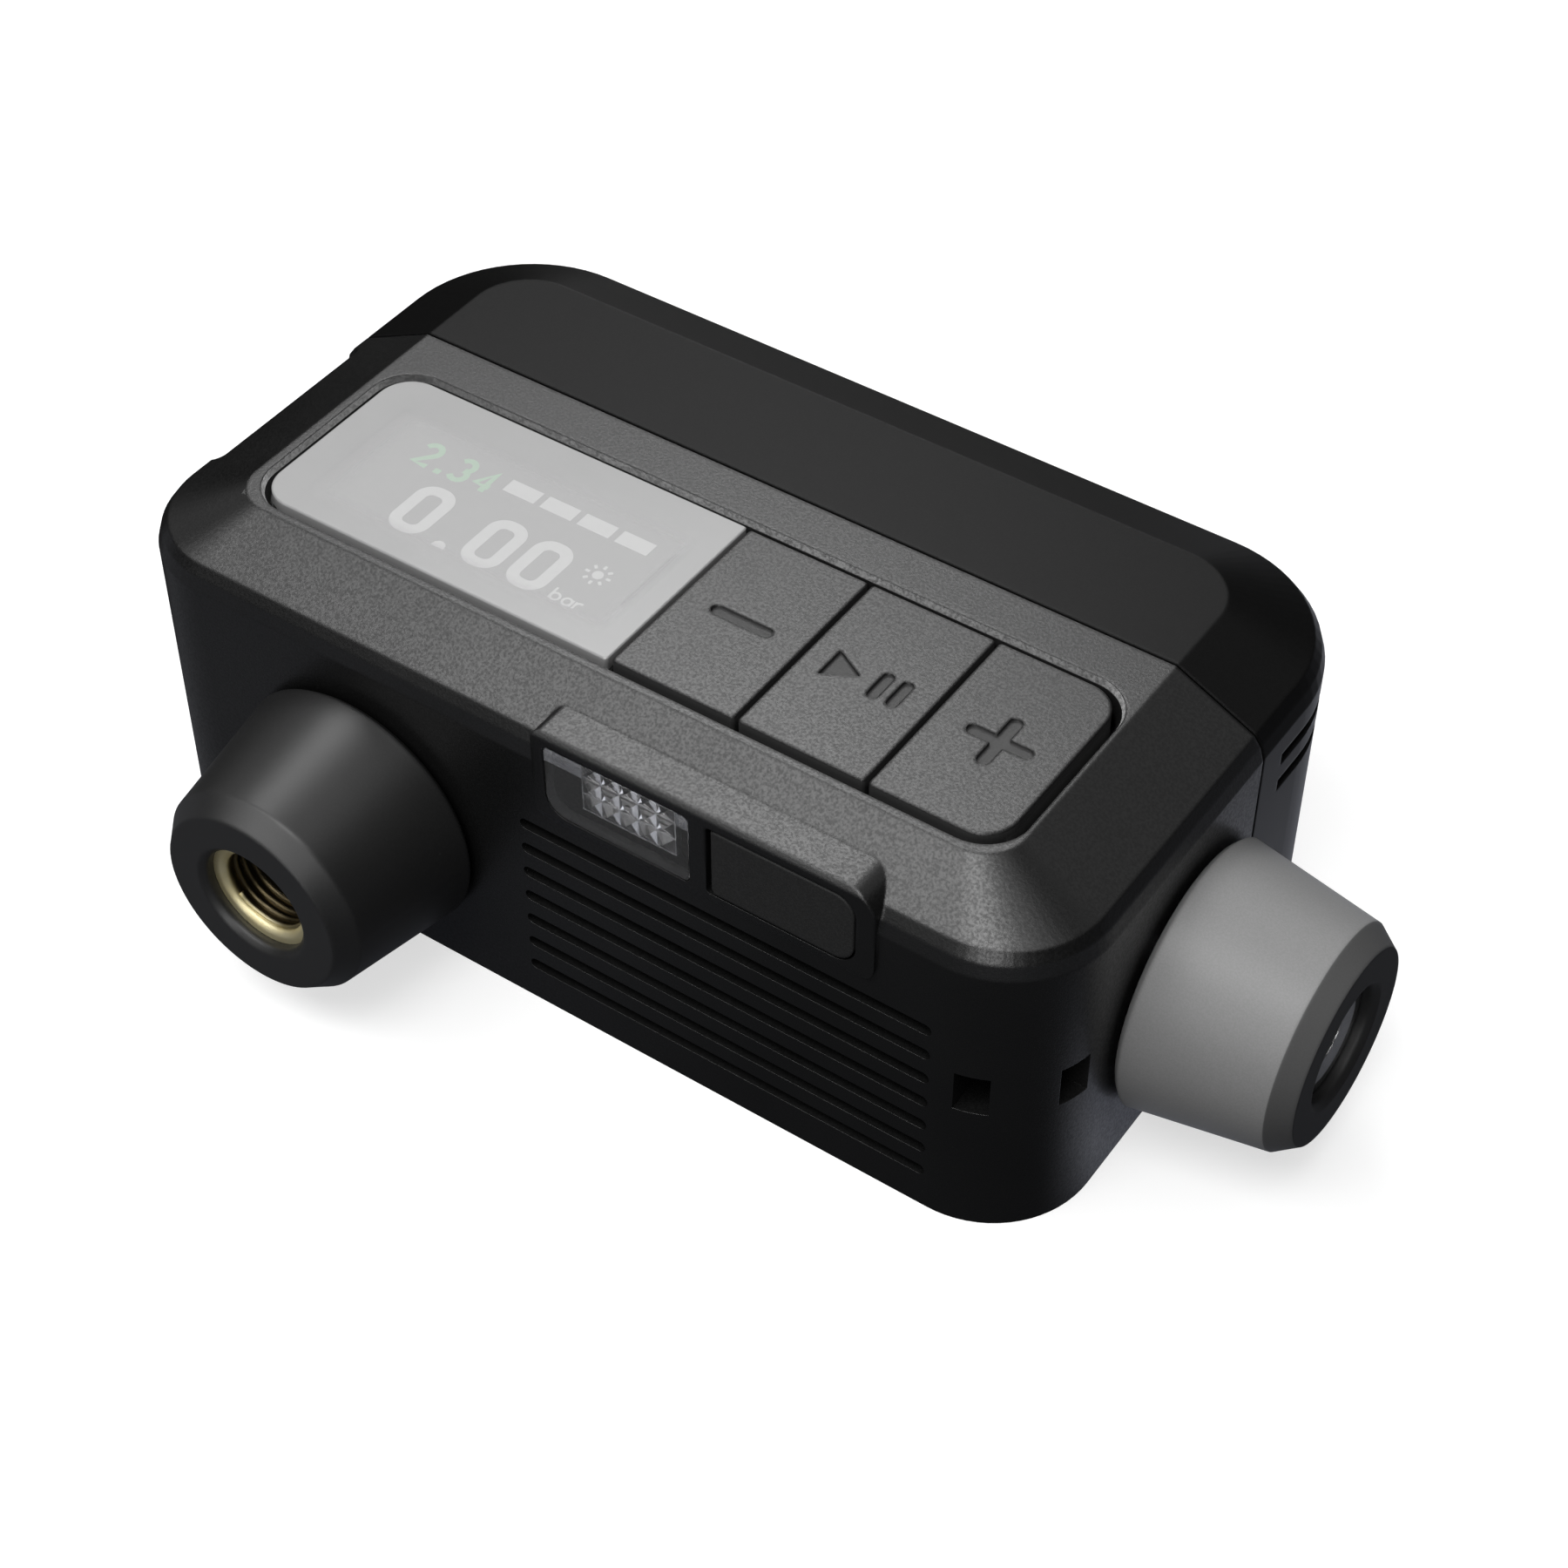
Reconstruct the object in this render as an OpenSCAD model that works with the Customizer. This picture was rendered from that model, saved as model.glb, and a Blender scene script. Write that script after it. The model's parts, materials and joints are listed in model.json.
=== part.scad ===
// Portable tire inflator: a pocket compressor with a front and a side valve nozzle.
// Frame: origin at the centre of the underside, +X along the length, -Y out of the vent side, +Z up.

/* [Body] */
// Length of the body, side to side
body_l = 88; // [80:1:110]
// Depth of the body, vent side to back
body_d = 50.8; // [50:0.2:60]
// Height of the body
body_h = 33.4; // [33.2:0.2:38]
// Thickness of the shells
wall = 2; // [1.6:0.1:2.4]
// Radius of the two upright corners beside the vents
front_corner_r = 9; // [6:0.5:11]
// Radius of the two upright corners at the back
rear_corner_r = 12.8; // [8:0.2:13.2]
// Distance from the panel back to the line where the shells meet
seam_back = 5; // [4.8:0.1:7]
// Width of the open line between the shells
seam_gap = 0.24; // [0.1:0.02:0.4]
// How far the rear shell's tongue reaches into the front shell
tongue_l = 1.2; // [0.8:0.1:1.6]

/* [Bevel round the top] */
// Width of the bevel at the two ends
bevel_side = 8; // [5:0.5:9]
// Width of the bevel above the vents
bevel_front = 6; // [4:0.5:7]
// Width of the bevel at the back
bevel_rear = 7.8; // [5:0.2:9]
// Drop of the bevel from the flat top
bevel_drop = 3.4; // [2:0.2:4]
// Width of the steep strip between bevel and wall
edge_w = 1; // [0.5:0.1:1.5]
// Drop of the steep strip
edge_drop = 2.1; // [1:0.1:3]
// Radius of the flat top's corners beside the vents
flat_front_r = 3.4; // [1:0.2:4]
// Radius of the flat top's corners at the back
flat_rear_r = 5.2; // [3:0.2:7]

/* [Panel] */
// Rim between the panel and the display's end of the flat top
panel_side_rim = 1.4; // [1.2:0.1:3]
// Rim between the panel and the buttons' end of the flat top
panel_end_rim = 0.95; // [0.85:0.05:2.5]
// Depth of the panel
panel_d = 18.9; // [16:0.1:19]
// Rim between the panel and the front edge of the flat top
panel_rim = 1.3; // [1.2:0.1:2.4]
// Radius of the panel's corners
panel_r = 3.2; // [2:0.2:5]
// Length of the display's part of the panel
display_l = 35.1; // [30:0.1:37]
// Open line round the display window and the buttons
panel_gap = 0.35; // [0.2:0.05:0.5]
// Chamfer round the panel opening
rim_chamfer = 0.5; // [0.2:0.1:0.6]
// How far a button presses in
button_travel = 0.4; // [0.2:0.05:0.6]
// Depth of the signs sunk into the buttons
sign_depth = 0.3; // [0.1:0.1:0.5]
// Thickness of the display window
window_t = 1.3; // [0.8:0.1:1.3]

/* [Nozzles] */
// Height of both nozzle axes
nozzle_z = 13.4; // [12.6:0.1:14.2]
// Room between the front nozzle's stem and the pump
front_nozzle_room = 0.4; // [0.3:0.1:2]
// Place of the side nozzle, from the middle
side_nozzle_y = -3.9; // [-5:0.1:-3]
// Radius of a nozzle at the body
nozzle_base_r = 11.4; // [10.5:0.1:12]
// Radius where the nozzle's end chamfer starts
nozzle_tip_r = 9.6; // [8.5:0.1:10]
// Radius of the nozzle's flat end
nozzle_face_r = 8.3; // [7.5:0.1:8.5]
// Length of a nozzle out of the body
nozzle_l = 14; // [13:0.1:16]
// Length of the end chamfer
nozzle_chamfer_l = 1.8; // [1:0.1:2.5]
// Radius of the mouth in the nozzle's end
mouth_r = 4.9; // [4.6:0.1:5.5]
// Radius of the front valve socket, for a car type valve
front_valve_r = 3.85; // [3.7:0.01:4]
// Radius of the side valve socket, for a narrow cycle valve
side_valve_r = 2.65; // [2.5:0.01:3.2]
// Length of the valve sockets
socket_l = 4; // [3.5:0.1:4.5]
// Running gap between a nozzle and the body
nozzle_gap = 0.4; // [0.3:0.05:0.6]

/* [Lamp and charging port] */
// Left side of the raised frame round lamp and port
frame_x = -1.1; // [-2:0.1:0]
// Length of the raised frame
frame_l = 30.8; // [30:0.1:33]
// Drop from the flat top to the raised frame's top
frame_drop = 1.9; // [1.4:0.1:2.4]
// How far the raised frame stands out of the wall
frame_out = 0.3; // [0.2:0.1:0.8]
// Height of the lamp window and the port flap
window_h = 6.9; // [6:0.1:7.2]
// Length of the lamp window
lamp_l = 13.4; // [12:0.1:14]
// Length of the port flap
flap_l = 13.2; // [12.6:0.1:13.6]
// Thickness of the port flap
flap_t = 1.6; // [1.2:0.1:1.7]

/* [Vents and strap slots] */
// Wall left between the vents' ends and the strap slot
vent_end = 2; // [1.5:0.1:6]
// Height of a vent
vent_h = 1.1; // [0.8:0.1:1.5]
// Distance from vent to vent
vent_pitch = 2.7; // [2.2:0.1:2.8]
// Middle height of the lowest vent
vent_z = 4.1; // [3.5:0.1:5]
// Width of the strap slots
strap_w = 2.6; // [2:0.1:3]
// Height of the strap slots
strap_h = 4; // [3:0.1:4.5]
// Depth of the grip recess in the left wall
recess_depth = 1.9; // [1:0.1:2.2]

/* [Compressor] */
// Room between the motor and the shell's floor
motor_under = 0.9; // [0.5:0.1:1.5]
// Room between the motor and the circuit board
motor_over = 4; // [3.6:0.1:6]
// Radius of the crank
crank_r = 3.2; // [2.6:0.1:3.4]
// Length of the piston
piston_l = 6; // [5:0.1:7]
// Teeth of the motor pinion
pinion_teeth = 12; // [12:2:14]
// Teeth of the crank gear
gear_teeth = 36; // [34:2:38]
// Thickness of the crank gear
gear_t = 4; // [3:0.1:4.2]
// Wall of the pump's cylinder
cylinder_wall = 1; // [0.8:0.1:1.4]
// Radius of the air tubes
tube_r = 2; // [1.8:0.1:2.2]
// Radius of the bore in the air tubes
tube_bore_r = 1.2; // [1:0.1:1.3]
// Bend radius of the air tubes
tube_bend = 4; // [3.5:0.1:4.2]

/* [Battery] */
// Room between the cells and the rear shell's wall
cell_room = 1.8; // [1:0.1:4]
// Room between the cells and the body's right wall
cell_end_room = 6.4; // [6:0.1:12]

/* [Hidden] */
$fn = 48;
edge_fn = 64;
button_n = 3;
skin = 0.01;          // clearance of a pressed fit, and the thickness of a hulled outline
slip = 0.1;           // clearance of a piece that is only laid in
run = 0.05;           // radial clearance of a running fit
side_gap = 0.3;       // clearance beside a moving piece

// Body
half_l = body_l / 2;
half_d = body_d / 2;
top_in = body_h - wall;
wall_in_x = half_l - wall;
wall_in_y = half_d - wall;
bevel_z = body_h - bevel_drop;
edge_z = bevel_z - edge_drop;
edge_mid_in = edge_w * 0.35;
edge_mid_z = bevel_z - edge_drop * 0.43;

// Panel
panel_y0 = -half_d + bevel_front + panel_rim;
panel_y1 = panel_y0 + panel_d;
panel_x0 = -half_l + bevel_side + panel_side_rim;
panel_x1 = half_l - bevel_side - panel_end_rim;
seam_y = panel_y1 + seam_back;
split_x = panel_x0 + display_l;
button_pitch = (panel_x1 - split_x) / button_n;
button_w = button_pitch - panel_gap;
button_y0 = panel_y0 + panel_gap;
button_y1 = panel_y1 - panel_gap;
button_mid_y = (panel_y0 + panel_y1) / 2;
button_flange = 0.5;
cap_chamfer = 0.1;
button_flange_t = 1;
button_bottom = top_in - slip - button_flange_t;
ledge_w = 1.9;
ledge_t = 0.6;
ledge_z = top_in + ledge_t;

// Grip recess, ahead of the rear shell's tongue
recess_end = 0.4;
recess_wall = 1.4;
recess_y0 = -half_d + front_corner_r + 2.2;
recess_y1 = seam_y - tongue_l - 2 * slip - recess_end;
recess_z = 2.4;

// Circuit board, below the buttons and the display
board_t = 1.2;
switch_h = 0.6;
plunger_h = 0.15;
board_top = button_bottom - plunger_h - button_travel - slip / 2 - switch_h;
board_z = board_top - board_t;
board_x0 = panel_x0 + 1.6;
board_x1 = panel_x1;
board_y0 = panel_y0 + 1.1;
board_y1 = panel_y1 - 0.6;
post_r = 1.25;
board_screw_x = 22;
board_screw_y = seam_y - tongue_l - 0.2 - post_r;
board_tab_y = board_screw_y + post_r;
board_front_y = -half_d + 4;

// Lamp and port
frame_top = body_h - frame_drop;
frame_bottom = frame_top - window_h - 2.3;
frame_y = -half_d - frame_out;
frame_back = -half_d + edge_w + (frame_top - bevel_z) * (bevel_front - edge_w) / bevel_drop;
window_top = frame_top - 1.1;
window_z = window_top - window_h;
lamp_x = frame_x + 1.1;
flap_x = lamp_x + lamp_l + 1.5;
flap_gap = 0.2;
flap_floor = frame_y + flap_t + 0.2;
port_w = 8.94;
port_h = 3.1;
port_l = 7.3;
port_x = flap_x + flap_l / 2;
port_z = board_z - port_h;
port_pad = 0.6;
port_lip = 0.3;
port_round = 1.1;
lamp_flange = 0.9;
lamp_flange_t = 0.8;
lamp_flange_top = bevel_z - wall - 0.4;
lamp_back = -wall_in_y + lamp_flange_t;
flap_web_t = 0.8;
flap_hinge_r = 0.35;
flap_hinge_x = flap_x + side_gap + flap_hinge_r;
flap_hinge_y = frame_y + flap_web_t / 2;
facet_cols = 5;
facet_rows = 3;
facet_pitch = 1.7;
facet_x0 = lamp_x + 3.1;
facet_z0 = window_z + 1.4;
facet_x1 = facet_x0 + facet_cols * facet_pitch;
facet_z1 = facet_z0 + facet_rows * facet_pitch;
facet_y = frame_y + 1.6;

// Strap slots
strap_z = 13;
strap_front_x = half_l - 7.4;
strap_side_y = -half_d + 4.8;
strap_rim = 1.2;

// Vents
vent_x0 = frame_x - 1.9;
vent_x1 = strap_front_x - vent_end;
vent_n = floor((frame_bottom - 1 - vent_z) / vent_pitch) + 1;

// Compressor train: motor axis and crank axis lie parallel to X
motor_r = (board_z - wall - motor_under - motor_over) / 2;
train_z = wall + motor_under + motor_r;
motor_y = wall_in_y - motor_r - 1.9;
motor_corner = 5.3;
motor_x0 = -half_l + rear_corner_r - motor_corner;
motor_wall = 0.8;
motor_cap_t = 2.5;
motor_boss_r = 3;
motor_boss_t = 1.5;
motor_screw_off = motor_r - 3;
motor_screw_r = 0.65;
magnet_t = 1.7;
magnet_split = 4.8;
magnet_in = 7;
magnet_end = 3;
rotor_r = motor_r - motor_wall - magnet_t - 0.5;
rotor_slot_w = 1.6;
rotor_slot_d = 2.6;
rotor_slots = 5;
commutator_r = 2.8;
brush_x0 = motor_x0 + motor_cap_t + 0.7;
brush_x1 = brush_x0 + 3;
brush_w = 2.6;
brush_l = 3.5;
brush_top = commutator_r + brush_l;
terminal_off = 5;
terminal_w = 2;
lead_r = 0.6;
lead_pitch = 1.8;
lead_drop = 1.8;
pad_in = 2;
shaft_r = 1;
bracket_t = 2;
bracket_end = 9;
gear_gap = 0.5;
axle_r = 1.5;
axle_end = 0.8;
rod_t = 2.8;
manifold_w = 7.2;
manifold_gap = 0.1;
train_x = frame_x - manifold_w / 2 - manifold_gap;
rod_x0 = train_x - rod_t / 2;
gear_x1 = rod_x0 - side_gap;
gear_x0 = gear_x1 - gear_t;
bracket_x1 = gear_x0 - gear_gap;
motor_x1 = bracket_x1 - bracket_t;
magnet_x0 = motor_x0 + magnet_in;
magnet_x1 = motor_x1 - magnet_end;
saddle_in = 4;
saddle_t = 1.6;
saddle_high = 4;
saddle_back = 8;
pin_r = 1.25;
wrist_r = 1;
big_end_r = 2.9;
small_end_r = 2.2;
shank_w = 3.4;

// Pump, from the front: head, valve plate, gasket, cylinder, bracket's lug
sensor_h = 1.5;
manifold_h = 2 * tube_r + 0.4;
manifold_z0 = board_z - sensor_h - slip - manifold_h;
flange_half = manifold_z0 - train_z;
bore_r = flange_half - cylinder_wall - 0.5;
gasket_t = 0.4;
plate_t = 0.6;
head_t = 2.5;
head_pocket = 1.3;
flange_t = 2;
flange_round = 1.6;
bolt_off = flange_half - 1.6;
bolt_r = 1;
bolt_head_r = 1.4;
bolt_head_t = 0.9;
lug_t = 1.5;
fin_t = 0.8;
fin_pitch = 2.3;
head_y = -wall_in_y + 0.6;
plate_y = head_y + head_t;
gasket_y = plate_y + plate_t;
cylinder_y = gasket_y + gasket_t;
crown_y = cylinder_y + side_gap;
ring_land = 0.5;
ring_t = 0.8;
ring_depth = 1.5;
wrist_y = crown_y + piston_l - 1.7;
lug_gap = 0.4;
lug_y = crown_y + piston_l + 2 * crank_r - lug_t;

// Gears: their tooth size follows from the room between the lug and the motor's axis
pressure_angle = 25;
backlash = 0.04;
tooth_m = (motor_y - lug_y - lug_t - lug_gap) / (pinion_teeth / 2 + gear_teeth + 1);
pinion_r = pinion_teeth * tooth_m / 2;
gear_r = gear_teeth * tooth_m / 2;
crank_y = motor_y - pinion_r - gear_r;
pin_y = crank_y - crank_r;

// Air path
barb_r = tube_bore_r - run;
air_hole_r = 0.7;
manifold_z = manifold_z0 + manifold_h / 2;
drop_x = train_x + 14.8;
tee_y = side_nozzle_y - 2 * tube_bend;
barb_l = 3.4;
stem_flange_r = 5.5;
front_nozzle_x = train_x - flange_half - stem_flange_r - front_nozzle_room;
stem_flange_t = 2;
stem_r = 4.4;
spigot_r = 3.6;
stem_barb_z = -wall - stem_flange_t;
stem_barb_l = 4;
stem_bore_r = 1.3;
insert_top = nozzle_l - 1.25;
socket_z = insert_top - 0.35 - socket_l;
stem_top = socket_z - 0.8;
seal_t = 0.5;
clip_t = 0.6;
clip_groove = 0.5;
clip_z = stem_top - 0.45 - clip_t - slip / 2;
insert_r = 6;
insert_floor = 4.4;
shoulder_z = 4;

// Battery
cell_pump_room = 4.9;
cell_seam_room = 1.8;
cell_under = 5.2;
cell_x0 = train_x + flange_half + cell_pump_room;
cell_y0 = seam_y + cell_seam_room;
cell_z0 = wall + cell_under;
cradle_t = 0.8;
rib_in = 4;
rib_t = 1.6;
boss_r = 2;
screw_in = 13;
screw_drop = 7.2;
screw_top_z = body_h - screw_drop;
screw_low_z = wall + boss_r + 0.2;
cell_l = wall_in_x - cell_end_room - cell_x0;
cell_w = wall_in_y - cell_room - cell_y0;
cell_t = (screw_top_z - boss_r - cell_z0 - 4 * slip) / 2;

// Screws that join the shells: x, z
screw_x = half_l - screw_in;
shell_screws = [[-screw_x, screw_top_z], [screw_x, screw_top_z], [cell_x0 - 4.2, screw_low_z],
    [screw_x, screw_low_z]];
screw_r = 0.9;
screw_head_r = 1.7;
screw_sink = 1.4;
boss_front_l = 3.6;

// ---- plain helpers ----

// Outline with four corner radii, from the low x, low y corner round to the right
module outline(x0, x1, y0, y1, r) {
    polygon([[x0 + r[0], y0], [x1 - r[1], y0], [x1, y0 + r[1]], [x1, y1 - r[2]],
        [x1 - r[2], y1], [x0 + r[3], y1], [x0, y1 - r[3]], [x0, y0 + r[0]]]);
    translate([x0 + r[0], y0 + r[0]]) circle(r[0]);
    translate([x1 - r[1], y0 + r[1]]) circle(r[1]);
    translate([x1 - r[2], y1 - r[2]]) circle(r[2]);
    translate([x0 + r[3], y1 - r[3]]) circle(r[3]);
}

// Plate that lies flat, its corners all alike
module plate(x0, x1, y0, y1, z0, z1, r) {
    translate([0, 0, z0]) linear_extrude(z1 - z0) outline(x0, x1, y0, y1, [r, r, r, r]);
}

// Plate that stands parallel to the front wall: y1 is its front face
module front_plate(x0, x1, z0, z1, y0, y1, r) {
    translate([0, y0, 0]) rotate([90, 0, 0]) linear_extrude(y0 - y1) outline(x0, x1, z0, z1, r);
}

module box(x0, x1, y0, y1, z0, z1) {
    translate([x0, y0, z0]) cube([x1 - x0, y1 - y0, z1 - z0]);
}

module rod_x(x0, x1, y, z, r) {
    translate([x0, y, z]) rotate([0, 90, 0]) cylinder(r = r, h = x1 - x0);
}

module rod_y(y0, y1, x, z, r) {
    translate([x, y0, z]) rotate([-90, 0, 0]) cylinder(r = r, h = y1 - y0);
}

module rod_z(z0, z1, x, y, r) {
    translate([x, y, z0]) cylinder(r = r, h = z1 - z0);
}

// ---- housing ----

// Flat outline of the body, drawn in by some distance on each side
module body_outline(d) {
    rf = max(front_corner_r - d, 0.4);
    rr = max(rear_corner_r - d, 0.4);
    outline(-half_l + d, half_l - d, -half_d + d, half_d - d, [rf, rf, rr, rr]);
}

// A slab of the roof, drawn in by different distances at the ends, the front and the back
module roof_slab(dx, df, dr, rf, rr, z0, z1) {
    translate([0, 0, z0]) linear_extrude(z1 - z0)
        outline(-half_l + dx, half_l - dx, -half_d + df, half_d - dr, [rf, rf, rr, rr], $fn = edge_fn);
}

// The bevel's outline at some height over the flat top, t under the outer skin
module bevel_slab(t, up, z0, z1) {
    in = t * 0.4;
    side = (bevel_side - edge_w) / bevel_drop;
    front = (bevel_front - edge_w) / bevel_drop;
    rear = (bevel_rear - edge_w) / bevel_drop;
    front_r = (front_corner_r - edge_w - flat_front_r) / bevel_drop;
    rear_r = (rear_corner_r - edge_w - flat_rear_r) / bevel_drop;
    roof_slab(bevel_side + in + up * side, bevel_front + in + up * front, bevel_rear + in + up * rear,
        flat_front_r - up * front_r, flat_rear_r - up * rear_r, z0, z1);
}

// Everything under the bevel, lowered by t for the inside of the shells
module under_bevel(t) {
    up = 0.3;
    down = bevel_drop + 3;
    top = body_h - t;
    hull() {
        bevel_slab(t, up, top, top + up);
        bevel_slab(t, -down, -1, top - down);
    }
}

// Everything under a steep facet that runs all round through inset d at height z
module under_facet(d, z, slope) {
    up = 0.3;
    down = 2;
    high = d + (body_h + up - z) * slope;
    low = d - down * slope;
    hull() {
        roof_slab(high, high, high, front_corner_r - high, rear_corner_r - high, body_h, body_h + up);
        roof_slab(low, low, low, front_corner_r - low, rear_corner_r - low, -1, z - down);
    }
}

module solid_body() {
    intersection() {
        linear_extrude(body_h) body_outline(0);
        under_bevel(0);
        under_facet(0, edge_z, edge_mid_in / (edge_mid_z - edge_z));
        under_facet(edge_w, bevel_z, (edge_w - edge_mid_in) / (bevel_z - edge_mid_z));
    }
}

// The inside of the shells, t under the outer skin
module cavity(t, floor_z) {
    intersection() {
        translate([0, 0, floor_z]) linear_extrude(body_h - t - floor_z) body_outline(t);
        under_bevel(t);
    }
}

module frame_block() {
    slope = 0.4;
    intersection() {
        front_plate(frame_x, frame_x + frame_l, frame_bottom, frame_top, frame_back + 0.1, frame_y - 1,
            [1, 2, 2.4, 0.8]);
        translate([frame_x, 0, 0]) rotate([90, 0, 90]) linear_extrude(frame_l)
            polygon([[frame_back, frame_bottom], [-half_d, frame_bottom],
                [frame_y, window_z - 0.3], [frame_y, frame_top - slope],
                [frame_y + slope, frame_top], [frame_back, frame_top]]);
    }
}

module vent(z) {
    front_plate(vent_x0, vent_x1, z - vent_h / 2, z + vent_h / 2, -wall_in_y + 1, -half_d - 1,
        [1, 1, 1, 1] * (vent_h / 2 - skin));
}

// The channel that the strap runs through, round the corner post
module strap_channel() {
    box(strap_front_x, strap_front_x + strap_w, -half_d - 1, strap_side_y + strap_w,
        strap_z, strap_z + strap_h);
    box(strap_front_x, half_l + 1, strap_side_y, strap_side_y + strap_w,
        strap_z, strap_z + strap_h);
}

module strap_block() {
    m = strap_rim;
    intersection() {
        box(strap_front_x - m, half_l, -half_d, strap_side_y + strap_w + m,
            strap_z - m, strap_z + strap_h + m);
        linear_extrude(body_h) body_outline(wall / 2);
    }
}

// Upright grip recess in the left wall, open at the bevel
module recess() {
    translate([0, 0, recess_z]) linear_extrude(body_h)
        outline(-half_l - 3, -half_l + recess_depth, recess_y0, recess_y1, [0.3, 1, 1, 0.3]);
}

// Keeps the wall behind the recess as thick as it needs to be
module recess_backing() {
    box(-half_l + wall / 2, -half_l + recess_depth + recess_wall, recess_y0 - recess_wall,
        recess_y1 + recess_end, recess_z - recess_wall, bevel_z - recess_end);
}

module panel_outline(grow, r) {
    outline(panel_x0 - grow, panel_x1 + grow, panel_y0 - grow, panel_y1 + grow, [1, 1, 1, 1] * r);
}

module panel_opening() {
    translate([0, 0, ledge_z]) linear_extrude(body_h) panel_outline(0, panel_r);
    hull() {
        translate([0, 0, ledge_z]) linear_extrude(body_h - rim_chamfer - ledge_z) panel_outline(0, panel_r);
        translate([0, 0, body_h + 0.3]) linear_extrude(1)
            panel_outline(rim_chamfer + 0.3, panel_r + rim_chamfer + 0.3);
    }
    box(split_x, panel_x1 - panel_r, panel_y0, panel_y1, top_in - 1, body_h);
    plate(split_x + panel_r, panel_x1, panel_y0, panel_y1, top_in - 1, body_h, panel_r);
    plate(panel_x0 + ledge_w, split_x - ledge_w, panel_y0 + ledge_w, panel_y1 - ledge_w,
        top_in - 1, body_h, panel_r - ledge_w + 0.6);
}

// Shelves, posts and bosses moulded inside the front shell
module front_inner() {
    pad_x0 = port_x - port_w / 2 - 2;
    pad_x1 = port_x + port_w / 2 + 2;
    box(pad_x0, pad_x1, -wall_in_y - 0.2, -wall_in_y + port_pad, port_z - 1.6, board_z);
    for (side = [-1, 1])
        difference() {
            rod_z(board_top, top_in + 0.2, side * board_screw_x, board_screw_y, post_r);
            rod_z(board_top - 1, top_in - 0.2, side * board_screw_x, board_screw_y, 0.6);
        }
    for (x = [motor_x0 + saddle_in, motor_x1 - saddle_in - saddle_t])
        saddle(x, 0, seam_y - tongue_l - 0.2);
    for (s = shell_screws)
        difference() {
            union() {
                rod_y(seam_y - boss_front_l, seam_y - seam_gap / 2, s[0], s[1], boss_r);
                if (s[1] > body_h / 2)
                    box(s[0] - 0.8, s[0] + 0.8, seam_y - boss_front_l, seam_y - tongue_l - slip,
                        s[1], top_in + 0.2);
                else
                    box(s[0] - 0.8, s[0] + 0.8, seam_y - boss_front_l, seam_y - tongue_l - slip,
                        wall - 0.2, s[1]);
            }
            rod_y(seam_y - boss_front_l + 0.8, seam_y, s[0], s[1], screw_r - 0.1);
        }
}

module front_shell() {
    color([0.37, 0.38, 0.4])
    difference() {
        union() {
            difference() {
                union() {
                    intersection() {
                        solid_body();
                        box(-half_l, half_l, -half_d, seam_y - seam_gap / 2, 0, body_h);
                    }
                    frame_block();
                }
                cavity(wall, wall);
                intersection() {
                    cavity(wall / 2 - slip / 2, wall / 2 - slip / 2);
                    box(-half_l, half_l, seam_y - tongue_l - slip, seam_y, 0, body_h);
                }
            }
            strap_block();
            recess_backing();
            front_inner();
        }
        panel_opening();
        for (i = [0 : vent_n - 1]) vent(vent_z + i * vent_pitch);
        front_plate(lamp_x, lamp_x + lamp_l, window_z, window_top, -wall_in_y + 1, -half_d - 1,
            [2, 0.5, 0.6, 0.5]);
        front_plate(flap_x, flap_x + flap_l, window_z, window_top, flap_floor, -half_d - 1,
            [0.4, 1.9, 1.9, 0.4]);
        front_plate(port_x - port_w / 2 - slip, port_x + port_w / 2 + slip, port_z - slip,
            port_z + port_h + slip, -wall_in_y + 1, -half_d - 1, [1.2, 1.2, 1.2, 1.2]);
        rod_y(-half_d - 1, -wall_in_y + 1, front_nozzle_x, nozzle_z, stem_r + slip / 2);
        rod_x(wall_in_x - 1, half_l + 1, side_nozzle_y, nozzle_z, stem_r + slip / 2);
        strap_channel();
        recess();
    }
}

// Rib that the motor lies on
module saddle(x, y0, y1) {
    difference() {
        box(x, x + saddle_t, y0, y1, wall - 0.2, train_z - motor_r + saddle_high);
        rod_x(x - 1, x + saddle_t + 1, motor_y, train_z, motor_r + slip);
    }
}

module rear_shell() {
    color([0.16, 0.16, 0.17])
    difference() {
        union() {
            difference() {
                intersection() {
                    solid_body();
                    box(-half_l, half_l, seam_y + seam_gap / 2, half_d, 0, body_h);
                }
                cavity(wall, wall);
            }
            intersection() {
                difference() {
                    cavity(wall / 2 + slip / 2, wall / 2 + slip / 2);
                    cavity(wall, wall);
                }
                box(-half_l, half_l, seam_y - tongue_l, seam_y + 1, 0, body_h);
            }
            for (x = [motor_x0 + saddle_in, motor_x1 - saddle_in - saddle_t])
                saddle(x, seam_y + 1, motor_y + saddle_back);
            for (x = [cell_x0 + rib_in, cell_x0 + cell_l - rib_in - rib_t])
                box(x, x + rib_t, cell_y0 + 1, cell_y0 + cell_w - 1, wall - 0.2, cell_z0 - cradle_t);
            for (s = shell_screws) rod_y(seam_y + seam_gap / 2, wall_in_y + 0.2, s[0], s[1], boss_r);
        }
        for (s = shell_screws) {
            rod_y(seam_y - 1, half_d + 1, s[0], s[1], screw_r + slip);
            rod_y(half_d - screw_sink, half_d + 1, s[0], s[1], screw_head_r + slip);
        }
        for (z = [body_h - 8.2, body_h - 11])
            box(half_l - 8, half_l + 1, seam_y + 3.4, seam_y + 12.2, z - vent_h / 2, z + vent_h / 2);
    }
}

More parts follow.
